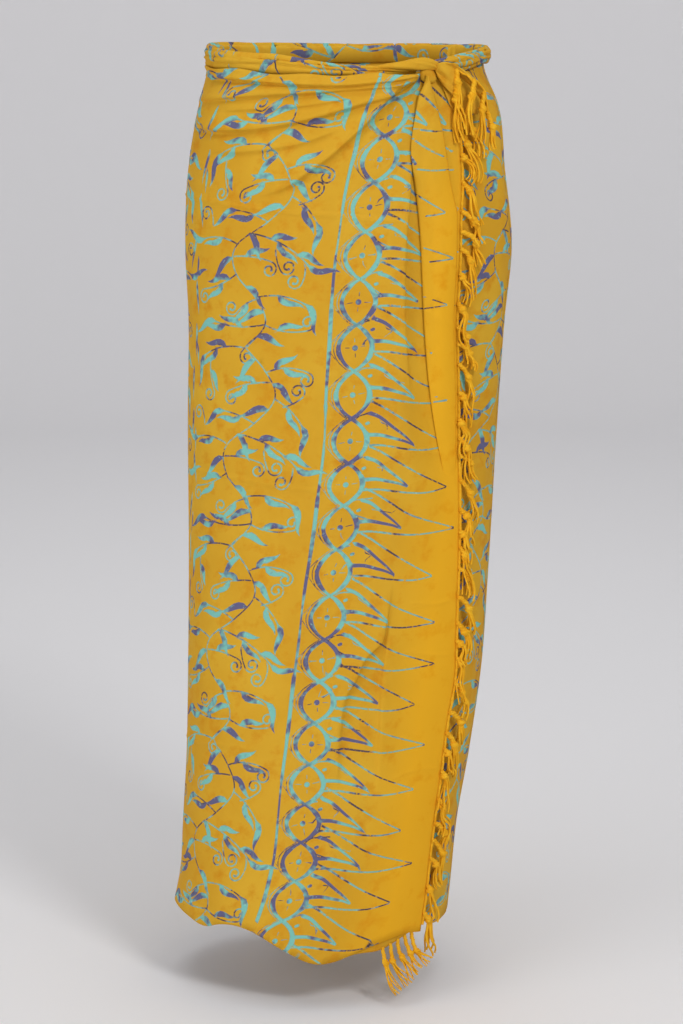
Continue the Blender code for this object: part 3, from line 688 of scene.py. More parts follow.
def front_place(u, v):
    turn, z = turn_of(u, v), -v
    under = roll_underside(turn)
    over_roll = 0.0030 * ease(z, under - 0.0045, under + 0.0015) * ease(turn, -24, -16)
    return surface(turn, z, front_lift(turn, z) + front_folds(turn, z) + pressed(turn, z) + over_roll)


def fold_rows():
    """Rows of points along every fold, crease and crisp edge, so that the mesh bends there."""
    rows = []
    bands = [(line, (-0.0045, -0.002, 0.0, 0.002, 0.0045)) for line, _ in PRESSED]
    bands += [
        (line, (-0.0078, -0.0052, -0.0034, -0.0020, -0.0009, 0.0003, 0.0020, 0.0048, 0.0085, 0.0130))
        for line, *_ in FOLDS
    ]
    for line, offsets in bands:
        ends = sorted(at for at, _ in line)
        turn = np.arange(ends[0] + 1, ends[-1] - 1, 1.6)
        for offset in offsets:
            rows.append(np.stack(flat_of(turn, curve(turn, line) + offset), axis=1))
    for table, low, high, offsets in (
        (HOLLOW_EDGE, -0.35, -0.085, (-2.3, -1.7, -1.1, -0.5, 0.1, 0.9, 2.2)),
        (TUCK_RIDGE, -0.76, -0.53, (-1.3, -0.9, -0.5, -0.1, 0.3, 1.3, 3.0)),
        (TUCK_EDGE, -0.77, -0.57, (-3.0, -1.3, -0.4, 0.0, 0.4, 0.8, 1.4)),
    ):
        z = np.arange(low, high, 0.004)
        for offset in offsets:
            rows.append(np.stack(flat_of(curve(z, table) + offset, z), axis=1))
    return rows


# The cloth ends a little inside its fringed edge, where the edge cord lies
FRONT_INSET = math.degrees(0.0014 / ROUND)
front_limits = constant(SIDE_TURN), lambda z: free_edge(z) + FRONT_INSET, outer_hem, front_top
turn_grid, z_grid = grid_on(*front_limits, steps(64, 1.15), steps(126, 1.25))
front_cloth = dyed_mesh(
    "front_cloth", *flat_of(turn_grid, z_grid), pattern(-0.2, 0.36), within(*front_limits), front_place,
    fold_rows(),
)


def add_node(tree, kind, inputs, **settings):
    """A node with its settings. Each input is linked to a socket, or takes a plain value."""
    made = tree.nodes.new(kind)
    for label, value in settings.items():
        setattr(made, label, value)
    for label, value in inputs.items():
        if isinstance(value, bpy.types.NodeSocket):
            tree.links.new(value, made.inputs[label])
        else:
            made.inputs[label].default_value = value
    return made


def weave_bump():
    """A group: the height of the weave, which is finer than a millimetre, at a place on the flat cloth."""
    group = bpy.data.node_groups.new("weave", "ShaderNodeTree")
    group.interface.new_socket("Place", in_out="INPUT", socket_type="NodeSocketVector")
    group.interface.new_socket("Height", in_out="OUTPUT", socket_type="NodeSocketFloat")
    inputs = {"Scale": 620, "Distortion": 0.6, "Detail": 1.0}
    inputs["Vector"] = group.nodes.new("NodeGroupInput").outputs["Place"]
    warp, weft = (
        add_node(group, "ShaderNodeTexWave", inputs, bands_direction=way).outputs["Fac"] for way in ("X", "Y")
    )
    height = add_node(group, "ShaderNodeMath", {0: warp, 1: weft}, operation="ADD").outputs[0]
    add_node(group, "NodeGroupOutput", {"Height": height})
    return group


def noise(tree, place, scale, detail, rough):
    inputs = {"Vector": place, "Scale": scale, "Detail": detail, "Roughness": rough}
    return add_node(tree, "ShaderNodeTexNoise", inputs).outputs["Fac"]


def ramp(tree, value, low, high):
    """0 where value is at low, 1 at high."""
    inputs = {"Value": value, "From Min": low, "From Max": high}
    return add_node(tree, "ShaderNodeMapRange", inputs).outputs["Result"]


def product(tree, first, second):
    return add_node(tree, "ShaderNodeMath", {0: first, 1: second}, operation="MULTIPLY").outputs[0]


def blend(tree, share, first, second):
    """A colour between two, each a socket or a plain colour."""
    first, second = ((*colour, 1) if isinstance(colour, tuple) else colour for colour in (first, second))
    inputs = {"Factor": share, "A": first, "B": second}
    return add_node(tree, "ShaderNodeMix", inputs, data_type="RGBA").outputs["Result"]


def raised(tree, height, strength, distance, **under):
    inputs = {"Height": height, "Strength": strength, "Distance": distance, **under}
    return add_node(tree, "ShaderNodeBump", inputs).outputs["Normal"]


def fibre(name):
    """A new material for soft cloth or yarn, and its nodes: almost without gloss."""
    made = bpy.data.materials.new(name)
    made.use_nodes = True
    made.node_tree.nodes["Principled BSDF"].inputs["Specular IOR Level"].default_value = 0.03
    return made, made.node_tree


def coat(tree, colour, rough, normal):
    shader = tree.nodes["Principled BSDF"]
    shader.inputs["Roughness"].default_value = rough
    tree.links.new(colour, shader.inputs["Base Color"])
    tree.links.new(normal, shader.inputs["Normal"])


# Dye colours, linear
YELLOW, YELLOW_PALE, YELLOW_DEEP = (0.68, 0.360, 0.025), (0.73, 0.420, 0.034), (0.66, 0.275, 0.013)
END_YELLOW, END_DEEP = (0.87, 0.445, 0.020), (0.82, 0.350, 0.010)
CYAN, CYAN_PALE, VIOLET = (0.22, 0.56, 0.49), (0.38, 0.68, 0.58), (0.14, 0.135, 0.25)
LINE_BROWN, RIM_GREEN = (0.085, 0.06, 0.06), (0.22, 0.30, 0.20)
weave = weave_bump()


def dyed_cloth(name):
    """Soft rayon, dyed unevenly, with the waxed pattern where the mesh carries it."""
    made, tree = fibre(name)
    place = add_node(tree, "ShaderNodeUVMap", {}, uv_map="cloth").outputs["UV"]
    cloudy, patchy = noise(tree, place, 9, 4, 0.55), noise(tree, place, 38, 5, 0.62)
    colour = blend(tree, ramp(tree, cloudy, 0.40, 0.66), YELLOW, YELLOW_PALE)
    colour = blend(tree, ramp(tree, patchy, 0.52, 0.74), colour, YELLOW_DEEP)
    # The end beyond the spears took the dye in one bath only, and is brighter
    ends = blend(tree, ramp(tree, patchy, 0.55, 0.74), END_YELLOW, END_DEEP)
    along_cloth = add_node(tree, "ShaderNodeSeparateXYZ", {0: place}).outputs["X"]
    colour = blend(tree, ramp(tree, along_cloth, -0.060, -0.115), colour, ends)
    dye, fine = (
        add_node(tree, "ShaderNodeAttribute", {}, attribute_name=label).outputs["Fac"]
        for label in ("dye", "fine")
    )
    speck, tone = noise(tree, place, 210, 3, 0.6), noise(tree, place, 26, 3, 0.65)
    tint = blend(tree, ramp(tree, tone, 0.475, 0.56), CYAN, VIOLET)
    tint = blend(tree, ramp(tree, speck, 0.60, 0.78), tint, CYAN_PALE)
    rim = product(tree, ramp(tree, dye, 0.85, 0.45), ramp(tree, tone, 0.52, 0.44))
    tint = blend(tree, product(tree, rim, 0.55), tint, RIM_GREEN)
    thin_dark = product(tree, fine, ramp(tree, tone, 0.53, 0.58))
    tint = blend(tree, product(tree, thin_dark, 0.8), tint, LINE_BROWN)
    # The wax cracked over the thin lines, so the dye is broken there
    broken = ramp(tree, noise(tree, place, 330, 2, 0.5), 0.70, 0.54)
    whole = add_node(tree, "ShaderNodeMix", {"Factor": fine, "A": 1.0, "B": broken}).outputs["Result"]
    colour = blend(tree, product(tree, ramp(tree, dye, 0.06, 0.30), whole), colour, tint)
    threads = add_node(tree, "ShaderNodeGroup", {"Place": place}, node_tree=weave)
    grain = raised(tree, threads.outputs["Height"], 0.25, 0.0002)
    coat(tree, colour, 0.62, raised(tree, noise(tree, place, 24, 3, 0.5), 0.5, 0.002, Normal=grain))
    return made


def settle(made, material, slot, *nodes):
    """A finished piece takes its material, rides on the root and stands for its nodes."""
    made.data.materials.append(material)
    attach(made, "root")
    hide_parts(*nodes)
    return made


batik_cloth = dyed_cloth("batik_cloth")
settle(front_cloth, batik_cloth, "batik_cloth", "front_panel")


# BACK CLOTH. The same cloth goes on round the back, from the plain side to the tied side, where it
# becomes the first turn. It hangs plainly, with shallow gathers under the rolled waist.


def back_lift(turn, z):
    fade = 1 - ease(-z, 0.02, 0.20)
    folds = 0.0016 * np.sin(np.radians(turn * 11)) * fade * ease(turn, SIDE_TURN, SIDE_TURN + 30)
    return curve(turn, OUTER_LIFT) + folds * (1 - ease(turn, 245, 275))


# The back cloth starts this many degrees under the front cloth's edge, and sunk
BACK_LAP, BACK_SUNK = 1.4, 0.0006


def back_place(u, v):
    turn, z = turn_of(u, v), -v
    drape = 0.0035 * ease(-z, 0.15, 0.8) * ease(turn, 108, 140) * (1 - ease(turn, 240, 272))
    folds = drape * (bump(turn, 146, 9) + 0.8 * bump(turn, 186, 12) + 0.9 * bump(turn, 222, 8))
    under_front = BACK_SUNK * (1 - ease(turn, SIDE_TURN, SIDE_TURN + 2.5))
    return surface(turn, z, back_lift(turn, z) + folds - under_front)


back_end = constant(RIGHT_TURN + 360 - math.degrees(SEAM_GAP / ROUND))
back_limits = constant(SIDE_TURN - BACK_LAP), back_end, outer_hem, roll_underside
turn_grid, z_grid = grid_on(*back_limits, steps(60), steps(90, 1.2))
back_cloth = dyed_mesh(
    "back_cloth", *flat_of(turn_grid, z_grid), pattern(0.22, 0.80), within(*back_limits), back_place
)
settle(back_cloth, batik_cloth, "batik_cloth", "back_panel_left", "back_panel_right")


# FIRST TURN. The inner end of the cloth: it shows at the tied side, creased under the rolled waist, and
# runs on under the front cloth.


def side_place(u, v):
    turn, z = turn_of(u, v) - 360, -v
    shows = ease(-turn, 46, 56)
    near_waist = ease(-z, 0.02, 0.05) * (1 - ease(-z, 0.10, 0.22))
    creases = 0.0024 * near_waist * shows * (bump(turn, -72, 3.5) - 0.8 * bump(turn, -62, 4))
    two_folds = bump(turn, -66, 3) + bump(turn, -57, 2.5) * ease(-z, 0.3, 0.5)
    long_folds = 0.0012 * ease(-z, 0.10, 0.20) * shows * two_folds
    return surface(turn, z, creases + long_folds - 0.0008 * ease(turn, RIGHT_TURN, RIGHT_TURN + 20))


def first_turn_hem(turn):
    return HEM_LEVEL + 0.012 * ease(turn - 360, -62, -46) - 0.002


def first_turn_top(turn):
    return roll_underside(turn - 360) - 0.012 * ease(turn - 360, -48, -38)


side_limits = (
    constant(RIGHT_TURN + 360 + math.degrees(SEAM_GAP / ROUND)), constant(UNDER_END_TURN + 360.0),
    first_turn_hem, first_turn_top,
)
turn_grid, z_grid = grid_on(*side_limits, steps(48), steps(80, 1.2))
first_turn = dyed_mesh(
    "first_turn", *flat_of(turn_grid, z_grid), pattern(0.68, 1.0), within(*side_limits), side_place
)
settle(first_turn, batik_cloth, "batik_cloth", "side_panel", "under_panel")


# ROLLED WAIST. The upper edge of the cloth, rolled over on itself to hold it up. Its folds twist a little
# as they run to the tie.
ROLL_ROUND = 0.055
ROLL_TOP = -0.045
# Its grooves: where round it, how far they wind towards the tie, how deep and wide
GROOVES = ((-34, 40, 0.0026, 11), (12, 26, 0.0022, 8), (58, -22, 0.0020, 9), (112, 12, 0.0018, 12))


def roll_place(u, v):
    """Round the roll: v runs from its underside, out over its front, across its top and down behind."""
    turn = turn_of(u, 0.0 * v)
    at = np.where(turn > 330, turn - 360, turn)
    share = (v - ROLL_TOP) / ROLL_ROUND
    ring = np.radians(90 - 357 * (share - 0.42))
    z, tall, deep = (curve(at, ROLL, k) for k in (1, 2, 3))
    middle = surface(at, z, ROLL_LIFT)
    outward = surface(at, z, ROLL_LIFT + 0.01) - middle
    outward[:, 2] = 0
    outward /= np.linalg.norm(outward, axis=1, keepdims=True)
    degrees = np.degrees(ring)
    near_tie = ease(-at, -70, -5)
    groove = 0.0 * at
    for where, twist, depth, width in GROOVES:
        line = where + twist * near_tie + 9 * np.sin(np.radians(at * 2.3 + where))
        gap = (degrees - line + 180) % 360 - 180
        groove = groove + depth * np.exp(-(gap / width) ** 2)
    swell = 0.0009 * np.sin(np.radians(at * 7.3)) * np.cos(ring - 0.6)
    size = 1 - (groove - swell) / (deep / 2)
    up = np.array([0.0, 0.0, 1.0])
    return (
        middle + outward * (np.cos(ring) * deep / 2 * size)[:, None]
        + up * (np.sin(ring) * tall / 2 * np.minimum(size + 0.05, 1.0))[:, None]
    )


def rolled(name, ends, node):
    """One stretch of the roll, between two turn angles."""
    zero = np.zeros(1)
    first, last = (flat_of(zero + turn, zero)[0][0] for turn in ends)
    foot = ROLL_TOP + ROLL_ROUND
    u_grid, v_grid = np.meshgrid(
        np.linspace(first, last, int((last - first) / 0.0035)),
        np.linspace(ROLL_TOP, foot, 31), indexing="ij",
    )

    def inside(u, v, margin):
        held = (u > first + margin) & (u < last - margin)
        return held & (v > ROLL_TOP + margin) & (v < foot - margin)

    made = dyed_mesh(name, u_grid, v_grid, pattern(first, last), inside, roll_place)
    return settle(made, batik_cloth, "batik_cloth", node)


roll_front = rolled("roll_front", (ROLL[0][0], SIDE_TURN - 0.2), "waist_roll_front")
roll_back = rolled("roll_back", (SIDE_TURN + 0.2, ROLL[-1][0]), "waist_roll_back")


# HANGING PLEAT. A fold of the front cloth that falls from the tie over the plain end. The tips of the
# spikes run on over it.
PLEAT_TOP, PLEAT_FOOT = -0.0105, -0.455
PLEAT_SHIFT = 0.025


def pleat_edges(z):
    return curve(z, PLEAT_FOLD), np.maximum(curve(z, PLEAT_OUTER), free_edge(z) + 2.4)


def pleat_place(u, v):
    turn, z = turn_of(u + PLEAT_SHIFT, v), -v
    fold, outer = pleat_edges(z)
    share = np.clip((turn - outer) / np.maximum(fold - outer, 0.5), 0.0, 1.0)
    flatter = 1 - ease(-z, 0.26, 0.44)
    crown = (
        0.0045 * np.sin(np.pi * share) ** 0.7 * (0.15 + 0.85 * flatter)
        + 0.0060 * (1 - ease(-z, 0.012, 0.062))
    )
    crease = (
        0.0007 * bump(z, -0.255 - 0.016 * (1 - share), 0.003)
        + 0.0005 * bump(z, -0.345 + 0.01 * share, 0.004)
    )
    soft = 0.0010 * bump(share, 0.72, 0.10) * ease(-z, 0.05, 0.12) * (1 - ease(-z, 0.22, 0.34))
    sunk = 0.0034 * ease(-z, 0.405, 0.452)
    return surface(turn, z, front_lift(turn, z) + 0.0012 + 0.0010 * flatter + crown + crease - soft - sunk)


def pleat_inside(u, v, margin):
    turn, z = turn_of(u + PLEAT_SHIFT, v), -v
    fold, outer = pleat_edges(z)
    edge = math.degrees(margin / ROUND)
    return (turn < fold - edge) & (turn > outer + edge) & (z > PLEAT_FOOT + margin) & (z < PLEAT_TOP - margin)


p_grid, q_grid = np.meshgrid(steps(26), steps(150, 1.2), indexing="ij")
z_grid = PLEAT_FOOT + (PLEAT_TOP - PLEAT_FOOT) * q_grid
fold_turn, outer_turn = pleat_edges(z_grid)
u_grid, v_grid = flat_of(fold_turn + (outer_turn - fold_turn) * p_grid, z_grid)
hanging_pleat = dyed_mesh(
    "pleat_cloth", u_grid - PLEAT_SHIFT, v_grid, pattern(-0.2, 0.0), pleat_inside, pleat_place
)
plain_cloth = dyed_cloth("plain_cloth")
settle(hanging_pleat, plain_cloth, "plain_cloth", "hanging_pleat")


# TURNED CORNER. The lower corner of the front cloth, turned under below the hem, with its tassels.
CORNER_START, CORNER_END, CORNER_DROP, CORNER_INSET = -12.0, -46.0, 0.0075, 0.0022


def corner_foot(turn):
    share = (turn - CORNER_START) / (CORNER_END - CORNER_START)
    return outer_hem(turn) - CORNER_DROP * np.sin(np.pi * np.clip(share * 1.15, 0, 1)) - 0.001


def corner_point(p, q):
    turn = CORNER_START + (CORNER_END - CORNER_START) * p
    z = corner_foot(turn) + 0.060 * q * (0.35 + 0.65 * p) + 0.0012 * np.sin(9 * p) * (1 - q)
    return surface(turn, z, front_lift(turn, z) - CORNER_INSET - 0.0006 * np.sin(14 * p) * (1 - q))


def plain_sheet(name, point, across, up, node):
    """An undyed stretch of the cloth from a point function of two shares."""
    p, q = np.meshgrid(across, up, indexing="ij")
    rows, columns = p.shape
    number = np.arange(rows * columns).reshape(rows, columns)
    a, b = number[:-1, :-1].ravel(), number[1:, :-1].ravel()
    c, d = number[1:, 1:].ravel(), number[:-1, 1:].ravel()
    faces = np.concatenate([np.stack([a, b, c], axis=1), np.stack([a, c, d], axis=1)])
    outer = point(p.ravel(), q.ravel())
    flat = np.stack([outer[:, 0] - outer[:, 1] * 0.4, -outer[:, 2]], axis=1)
    blank = np.full(len(outer), -3.0)
    made = shell(name, outer, faces, flat, blank, blank * 0)
    return settle(made, plain_cloth, "plain_cloth", node)


corner_cloth = plain_sheet("corner_cloth", corner_point, steps(50), steps(14), "turned_corner")


# TIE. The gathered upper edge crosses itself in a knot. One corner of the cloth is pulled through and
# fans out over it as a hood; the other is pushed up behind the rolled waist.
# The lobe of the roll that crosses over the tie: right, up, out, and how tall and deep it is
LOBE = (
    (-0.052, 0.0015, -0.0060, 0.0030, 0.0030), (-0.040, 0.0026, -0.0036, 0.0042, 0.0042),
    (-0.026, 0.0036, -0.0016, 0.0054, 0.0052), (-0.011, 0.0052, 0.0006, 0.0064, 0.0062),
    (0.002, 0.0062, 0.0014, 0.0062, 0.0060), (0.012, 0.0046, 0.0000, 0.0048, 0.0048),
    (0.019, 0.0004, -0.0030, 0.0026, 0.0030),
)
# The pinched cloth under it
CORE_ALONG, CORE_OUT, CORE_UP = 0.0086, 0.0062, 0.0090
# The tied corner's hood: share along its edge, then a point on its ridge and one on its edge
FAN = (
    (0.00, 0.010, -0.014, 0.002, 0.024, -0.027, 0.003), (0.20, 0.014, -0.004, 0.009, 0.028, -0.015, 0.008),
    (0.40, 0.015, 0.013, 0.011, 0.032, 0.000, 0.012), (0.60, 0.028, 0.015, 0.014, 0.045, -0.009, 0.018),
    (0.80, 0.040, 0.010, 0.012, 0.055, -0.019, 0.016), (1.00, 0.047, -0.002, 0.006, 0.055, -0.048, 0.007),
)
FAN_ROOT = 0.0099


def tie_point(right, up, out):
    """Points placed from the tie as seen from the front: to the right, up, and out from the cloth."""
    right, up, out = (np.atleast_1d(value.astype(float)) for value in np.broadcast_arrays(right, up, out))
    z, lift = TIE_HEIGHT + up, 0.009 + out
    x = surface(TIE_TURN, z, 0.009)[..., 0] + right
    low, high = np.full(z.shape, -89.0), np.full(z.shape, 89.0)
    for _ in range(30):
        middle = (low + high) / 2
        over = surface(middle, z, lift)[..., 0] > x
        low, high = np.where(over, middle, low), np.where(over, high, middle)
    return surface((low + high) / 2, z, lift)


def knot_cloth():
    """The roll's lobe over the tie, wound with slanting folds, and the pinched cloth that it holds."""
    lengthwise, around = 90, 48
    t = np.linspace(0, 1, lengthwise)
    keys = np.linspace(0, 1, len(LOBE))
    rows = np.column_stack([keys, LOBE]).tolist()
    right, up, out, tall, deep = (curve(t, rows, k) for k in range(1, 6))
    ends = np.sqrt(np.clip(np.minimum(t, 1 - t) / 0.05, 0.0, 1.0))
    ring = np.linspace(0, 2 * np.pi, around, endpoint=False)
    slant = ring[None, :] + 2.6 * t[:, None]
    folds = 1 - 0.20 * np.exp(-(np.sin(1.5 * slant) / 0.26) ** 2) - 0.06 * np.sin(5 * slant + 3 * t[:, None])
    points = tie_point(
        right[:, None] + 0 * folds, up[:, None] + (tall * ends)[:, None] * np.sin(ring) * folds,
        out[:, None] + (deep * ends)[:, None] * np.cos(ring) * folds,
    ).reshape(-1, 3)
    number = np.arange(lengthwise * around).reshape(lengthwise, around)
    a, b = number[:-1], np.roll(number, -1, axis=1)[:-1]
    c, d = np.roll(number, -1, axis=1)[1:], number[1:]
    faces = [np.stack([a.ravel(), b.ravel(), c.ravel()], 1), np.stack([a.ravel(), c.ravel(), d.ravel()], 1)]
    for row, way in ((number[0], 1), (number[-1], -1)):
        faces.append(np.stack([np.full(around - 2, row[0]), row[2:], row[1:-1]], 1)[:, ::way])
    core = bmesh.new()
    bmesh.ops.create_uvsphere(core, u_segments=72, v_segments=48, radius=1.0)
    bmesh.ops.triangulate(core, faces=core.faces)
    core.verts.index_update()
    at = np.array([v.co[:] for v in core.verts])
    ribs = np.abs(np.sin(4.2 * at[:, 0] / (1.25 - 0.6 * at[:, 2]) + 0.7)) ** 0.5
    pinch = 1 - 0.16 * ribs * at[:, 1].clip(-1, 0) ** 2
    core_points = tie_point(
        0.001 + at[:, 0] * CORE_ALONG * pinch * (1.0 - 0.25 * at[:, 2]), -0.0046 + at[:, 2] * CORE_UP,
        -0.0016 - at[:, 1] * CORE_OUT * pinch,
    )
    faces.append(np.array([[v.index for v in f.verts] for f in core.faces]) + len(points))
    core.free()
    points = np.concatenate([points, core_points])
    blank = np.full(len(points), -3.0)
    made = piece("knot_cloth", points, np.concatenate(faces), points[:, [0, 2]], blank, blank * 0)
    tidy = bmesh.new()
    tidy.from_mesh(made.data)
    bmesh.ops.recalc_face_normals(tidy, faces=tidy.faces)
    tidy.to_mesh(made.data)
    tidy.free()
    return settle(made, plain_cloth, "plain_cloth", "knot")


def fan_point(share, reach):
    """The tied corner: share runs along its end edge, and reach runs out from the knot."""
    share, reach = np.broadcast_arrays(np.asarray(share, float), reach)
    ridge = [curve(share, FAN, k) for k in (1, 2, 3)]
    end = [curve(share, FAN, k) for k in (4, 5, 6)]
    angle = np.radians(-50 + 100 * share)
    root = (FAN_ROOT, 0.0025 + 0.0035 * np.sin(angle), -0.001 + 0.003 * np.cos(angle))
    a, b, c = (1 - reach) ** 2, 2 * reach * (1 - reach), reach * reach
    place = [a * r + b * m + c * e for r, m, e in zip(root, ridge, end)]
    waves = np.sin(21 * share + 2 * reach) + 0.5 * np.sin(37 * share - 3 * reach)
    fold = 0.0013 * np.sin(np.pi * reach) * waves
    rim = 0.0010 * ease(reach, 0.8, 1.0) * np.sin(48 * share)
    return tie_point(place[0], place[1] + rim, place[2] + fold)


def fan_back_point(share, reach):
    """The corner's other half, which hangs flat behind the hood."""
    share, reach = np.broadcast_arrays(np.asarray(share, float), reach)
    right = FAN_ROOT + (0.010 + 0.036 * share - FAN_ROOT * 0.4) * reach + 0.003 * share
    drop = 0.052 - 0.016 * (2 * share - 1) ** 2 + 0.002 * np.sin(19 * share)
    up = 0.004 * share + 0.002 - drop * reach ** 1.2
    up = up + 0.016 * share * reach * (1 - reach)
    wave = 0.0009 * np.sin(17 * share + 2.4 * reach) * reach
    return tie_point(right, up, -0.0012 + wave + 0.0035 * np.sin(np.pi * reach) * share)


def tip_point(p, q):
    turn = -46.0 - 6.0 * p - 2.0 * q
    lift = -0.0036 + 0.001 * np.sin(3 * p) + 0.0006 * np.sin(9 * p)
    return surface(turn, -0.004 + 0.0215 * q + 0.004 * p * q, lift)


knot_piece = knot_cloth()
tail_cloth = plain_sheet("tail_cloth", fan_point, steps(110), steps(50), "tied_corner")
tail_back = plain_sheet("tail_back", fan_back_point, steps(60), steps(50), "tied_corner")
tip_cloth = plain_sheet("tip_cloth", tip_point, steps(20), steps(14), "tucked_tip")


# FRINGE. The warp ends along the free edge, twisted in bundles, knotted and left loose below the knot.
TASSELS = 36


def yarn_group():
    """Geometry nodes: winds several strands about each path line, as far out and as thick as it says."""
    group = bpy.data.node_groups.new("twisted_yarn", "GeometryNodeTree")
    sockets = {}
    for label, kind in (("Paths", "Geometry"), ("Strands", "Int"), ("Finish", "Material")):
        made = group.interface.new_socket(label, in_out="INPUT", socket_type="NodeSocket" + kind)
        sockets[label] = made.identifier
    group.interface.new_socket("Yarn", in_out="OUTPUT", socket_type="NodeSocketGeometry")
    start = group.nodes.new("NodeGroupInput").outputs

    def step(kind, inputs, **settings):
        return add_node(group, "GeometryNode" + kind, inputs, **settings).outputs

    def number(operation, first, second=0.0):
        return add_node(group, "ShaderNodeMath", {0: first, 1: second}, operation=operation).outputs[0]

    def vector(operation, first, second):
        inputs = {0: first, 3 if operation == "SCALE" else 1: second}
        return add_node(group, "ShaderNodeVectorMath", inputs, operation=operation).outputs["Vector"]

    def named(label):
        return step("InputNamedAttribute", {"Name": label}, data_type="FLOAT")["Attribute"]

    lines = step("MeshToCurve", {"Mesh": start["Paths"]})["Curve"]
    copies = step("DuplicateElements", {"Geometry": lines, "Amount": start["Strands"]}, domain="SPLINE")
    share = number("DIVIDE", copies["Duplicate Index"], start["Strands"])
    angle = number("MULTIPLY", number("ADD", share, named("turns")), 2 * math.pi)
    normal, tangent = step("InputNormal", {})["Normal"], step("InputTangent", {})["Tangent"]
    beside = vector("CROSS_PRODUCT", normal, tangent)
    uneven = number("MULTIPLY", 0.38, number("SINE", number("MULTIPLY", share, 23.0)))
    spread = number("MULTIPLY", named("spread"), number("ADD", 1.0, uneven))
    one = vector("SCALE", normal, number("MULTIPLY", spread, number("COSINE", angle)))
    two = vector("SCALE", beside, number("MULTIPLY", spread, number("SINE", angle)))
    offset = vector("ADD", one, two)
    moved = step("SetPosition", {"Geometry": copies["Geometry"], "Offset": offset})["Geometry"]
    sized = step("SetCurveRadius", {"Curve": moved, "Radius": named("thick")})["Curve"]
    ring = step("CurvePrimitiveCircle", {"Resolution": 6, "Radius": 1.0})["Curve"]
    inputs = {"Curve": sized, "Profile Curve": ring, "Fill Caps": True}
    tubes = add_node(group, "GeometryNodeCurveToMesh", inputs)
    if "Scale" in tubes.inputs:
        group.links.new(named("thick"), tubes.inputs["Scale"])
    whole = step("RealizeInstances", {"Geometry": tubes.outputs["Mesh"]})["Geometry"]
    painted = step("SetMaterial", {"Geometry": whole, "Material": start["Finish"]})["Geometry"]
    add_node(group, "NodeGroupOutput", {"Yarn": painted})
    return group, sockets


yarn_nodes, yarn_sockets = yarn_group()


YARN_PALE, YARN_DEEP = (0.92, 0.52, 0.030), (0.85, 0.40, 0.015)


def yarn_material():
    """Loose twisted rayon, brighter than the cloth, paler in random patches."""
    made, tree = fibre("fringe_yarn")
    place = tree.nodes.new("ShaderNodeTexCoord").outputs["Object"]
    tint = ramp(tree, noise(tree, place, 120, 3, 0.6), 0.35, 0.68)
    normal = raised(tree, noise(tree, place, 1400, 2, 0.6), 0.6, 0.0003)
    coat(tree, blend(tree, tint, YARN_DEEP, YARN_PALE), 0.7, normal)
    return made


fringe_yarn = yarn_material()


STRANDS = 5


def yarn(name, tassels, node):
    """Tassels as one mesh: each is rows of x, y, z, spread, strand radius and turns of twist so far."""
    rows = np.concatenate(tassels)
    starts = np.cumsum([0] + [len(t) for t in tassels])
    edges = [(i, i + 1) for a, b in zip(starts, starts[1:]) for i in range(a, b - 1)]
    paths = bpy.data.meshes.new(name + "_paths")
    paths.from_pydata(rows[:, :3].tolist(), edges, [])
    begin = np.concatenate([np.full(len(t), 0.37 * k) for k, t in enumerate(tassels)])
    for label, values in (("spread", rows[:, 3]), ("thick", rows[:, 4]), ("turns", rows[:, 5] + begin)):
        paths.attributes.new(label, "FLOAT", "POINT").data.foreach_set("value", values)
    made = bpy.data.objects.new(name, paths)
    bpy.context.scene.collection.objects.link(made)
    made.data.materials.append(fringe_yarn)
    wind = made.modifiers.new("wind", "NODES")
    wind.node_group = yarn_nodes
    wind[yarn_sockets["Strands"]] = STRANDS
    wind[yarn_sockets["Finish"]] = fringe_yarn
    shown = made.evaluated_get(bpy.context.evaluated_depsgraph_get())
    solid = bpy.data.meshes.new_from_object(shown)
    made.modifiers.remove(wind)
    made.data = solid
    solid.name = name
    solid.shade_smooth()
    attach(made, "root")
    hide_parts(node)


def strip_lift(z):
    z = np.maximum(z, HEM_LEVEL)
    return front_lift(free_edge(z), z)


TWIST_TURNS, TIGHT = 5.0, 0.0013


def tassel(path, knot_at, open_end, thick=0.00100):
    """A path with how far its strands stand apart: twisted tight, swollen at the knot, open below it."""
    t = np.linspace(0, 1, len(path))
    lump = bump(t, knot_at, 0.060)
    spread = TIGHT * ease(t, -0.2, 0.15) + TIGHT * 0.9 * lump + open_end * ease(t, knot_at + 0.02, 1.05)
    size = thick * (1 + 0.60 * lump - 0.35 * ease(t, knot_at + 0.1, 1.0))
    turns = TWIST_TURNS * np.minimum(t, knot_at + 0.05) + 0.35 * np.maximum(t - knot_at, 0.0)
    return np.concatenate([path, spread[:, None], size[:, None], turns[:, None]], axis=1)


def cord(path, spread, thick, turns):
    """A path wound evenly from end to end."""
    count = len(path)
    evenly = np.linspace(0, turns, count)[:, None]
    return np.concatenate([path, np.full((count, 1), spread), np.full((count, 1), thick), evenly], axis=1)


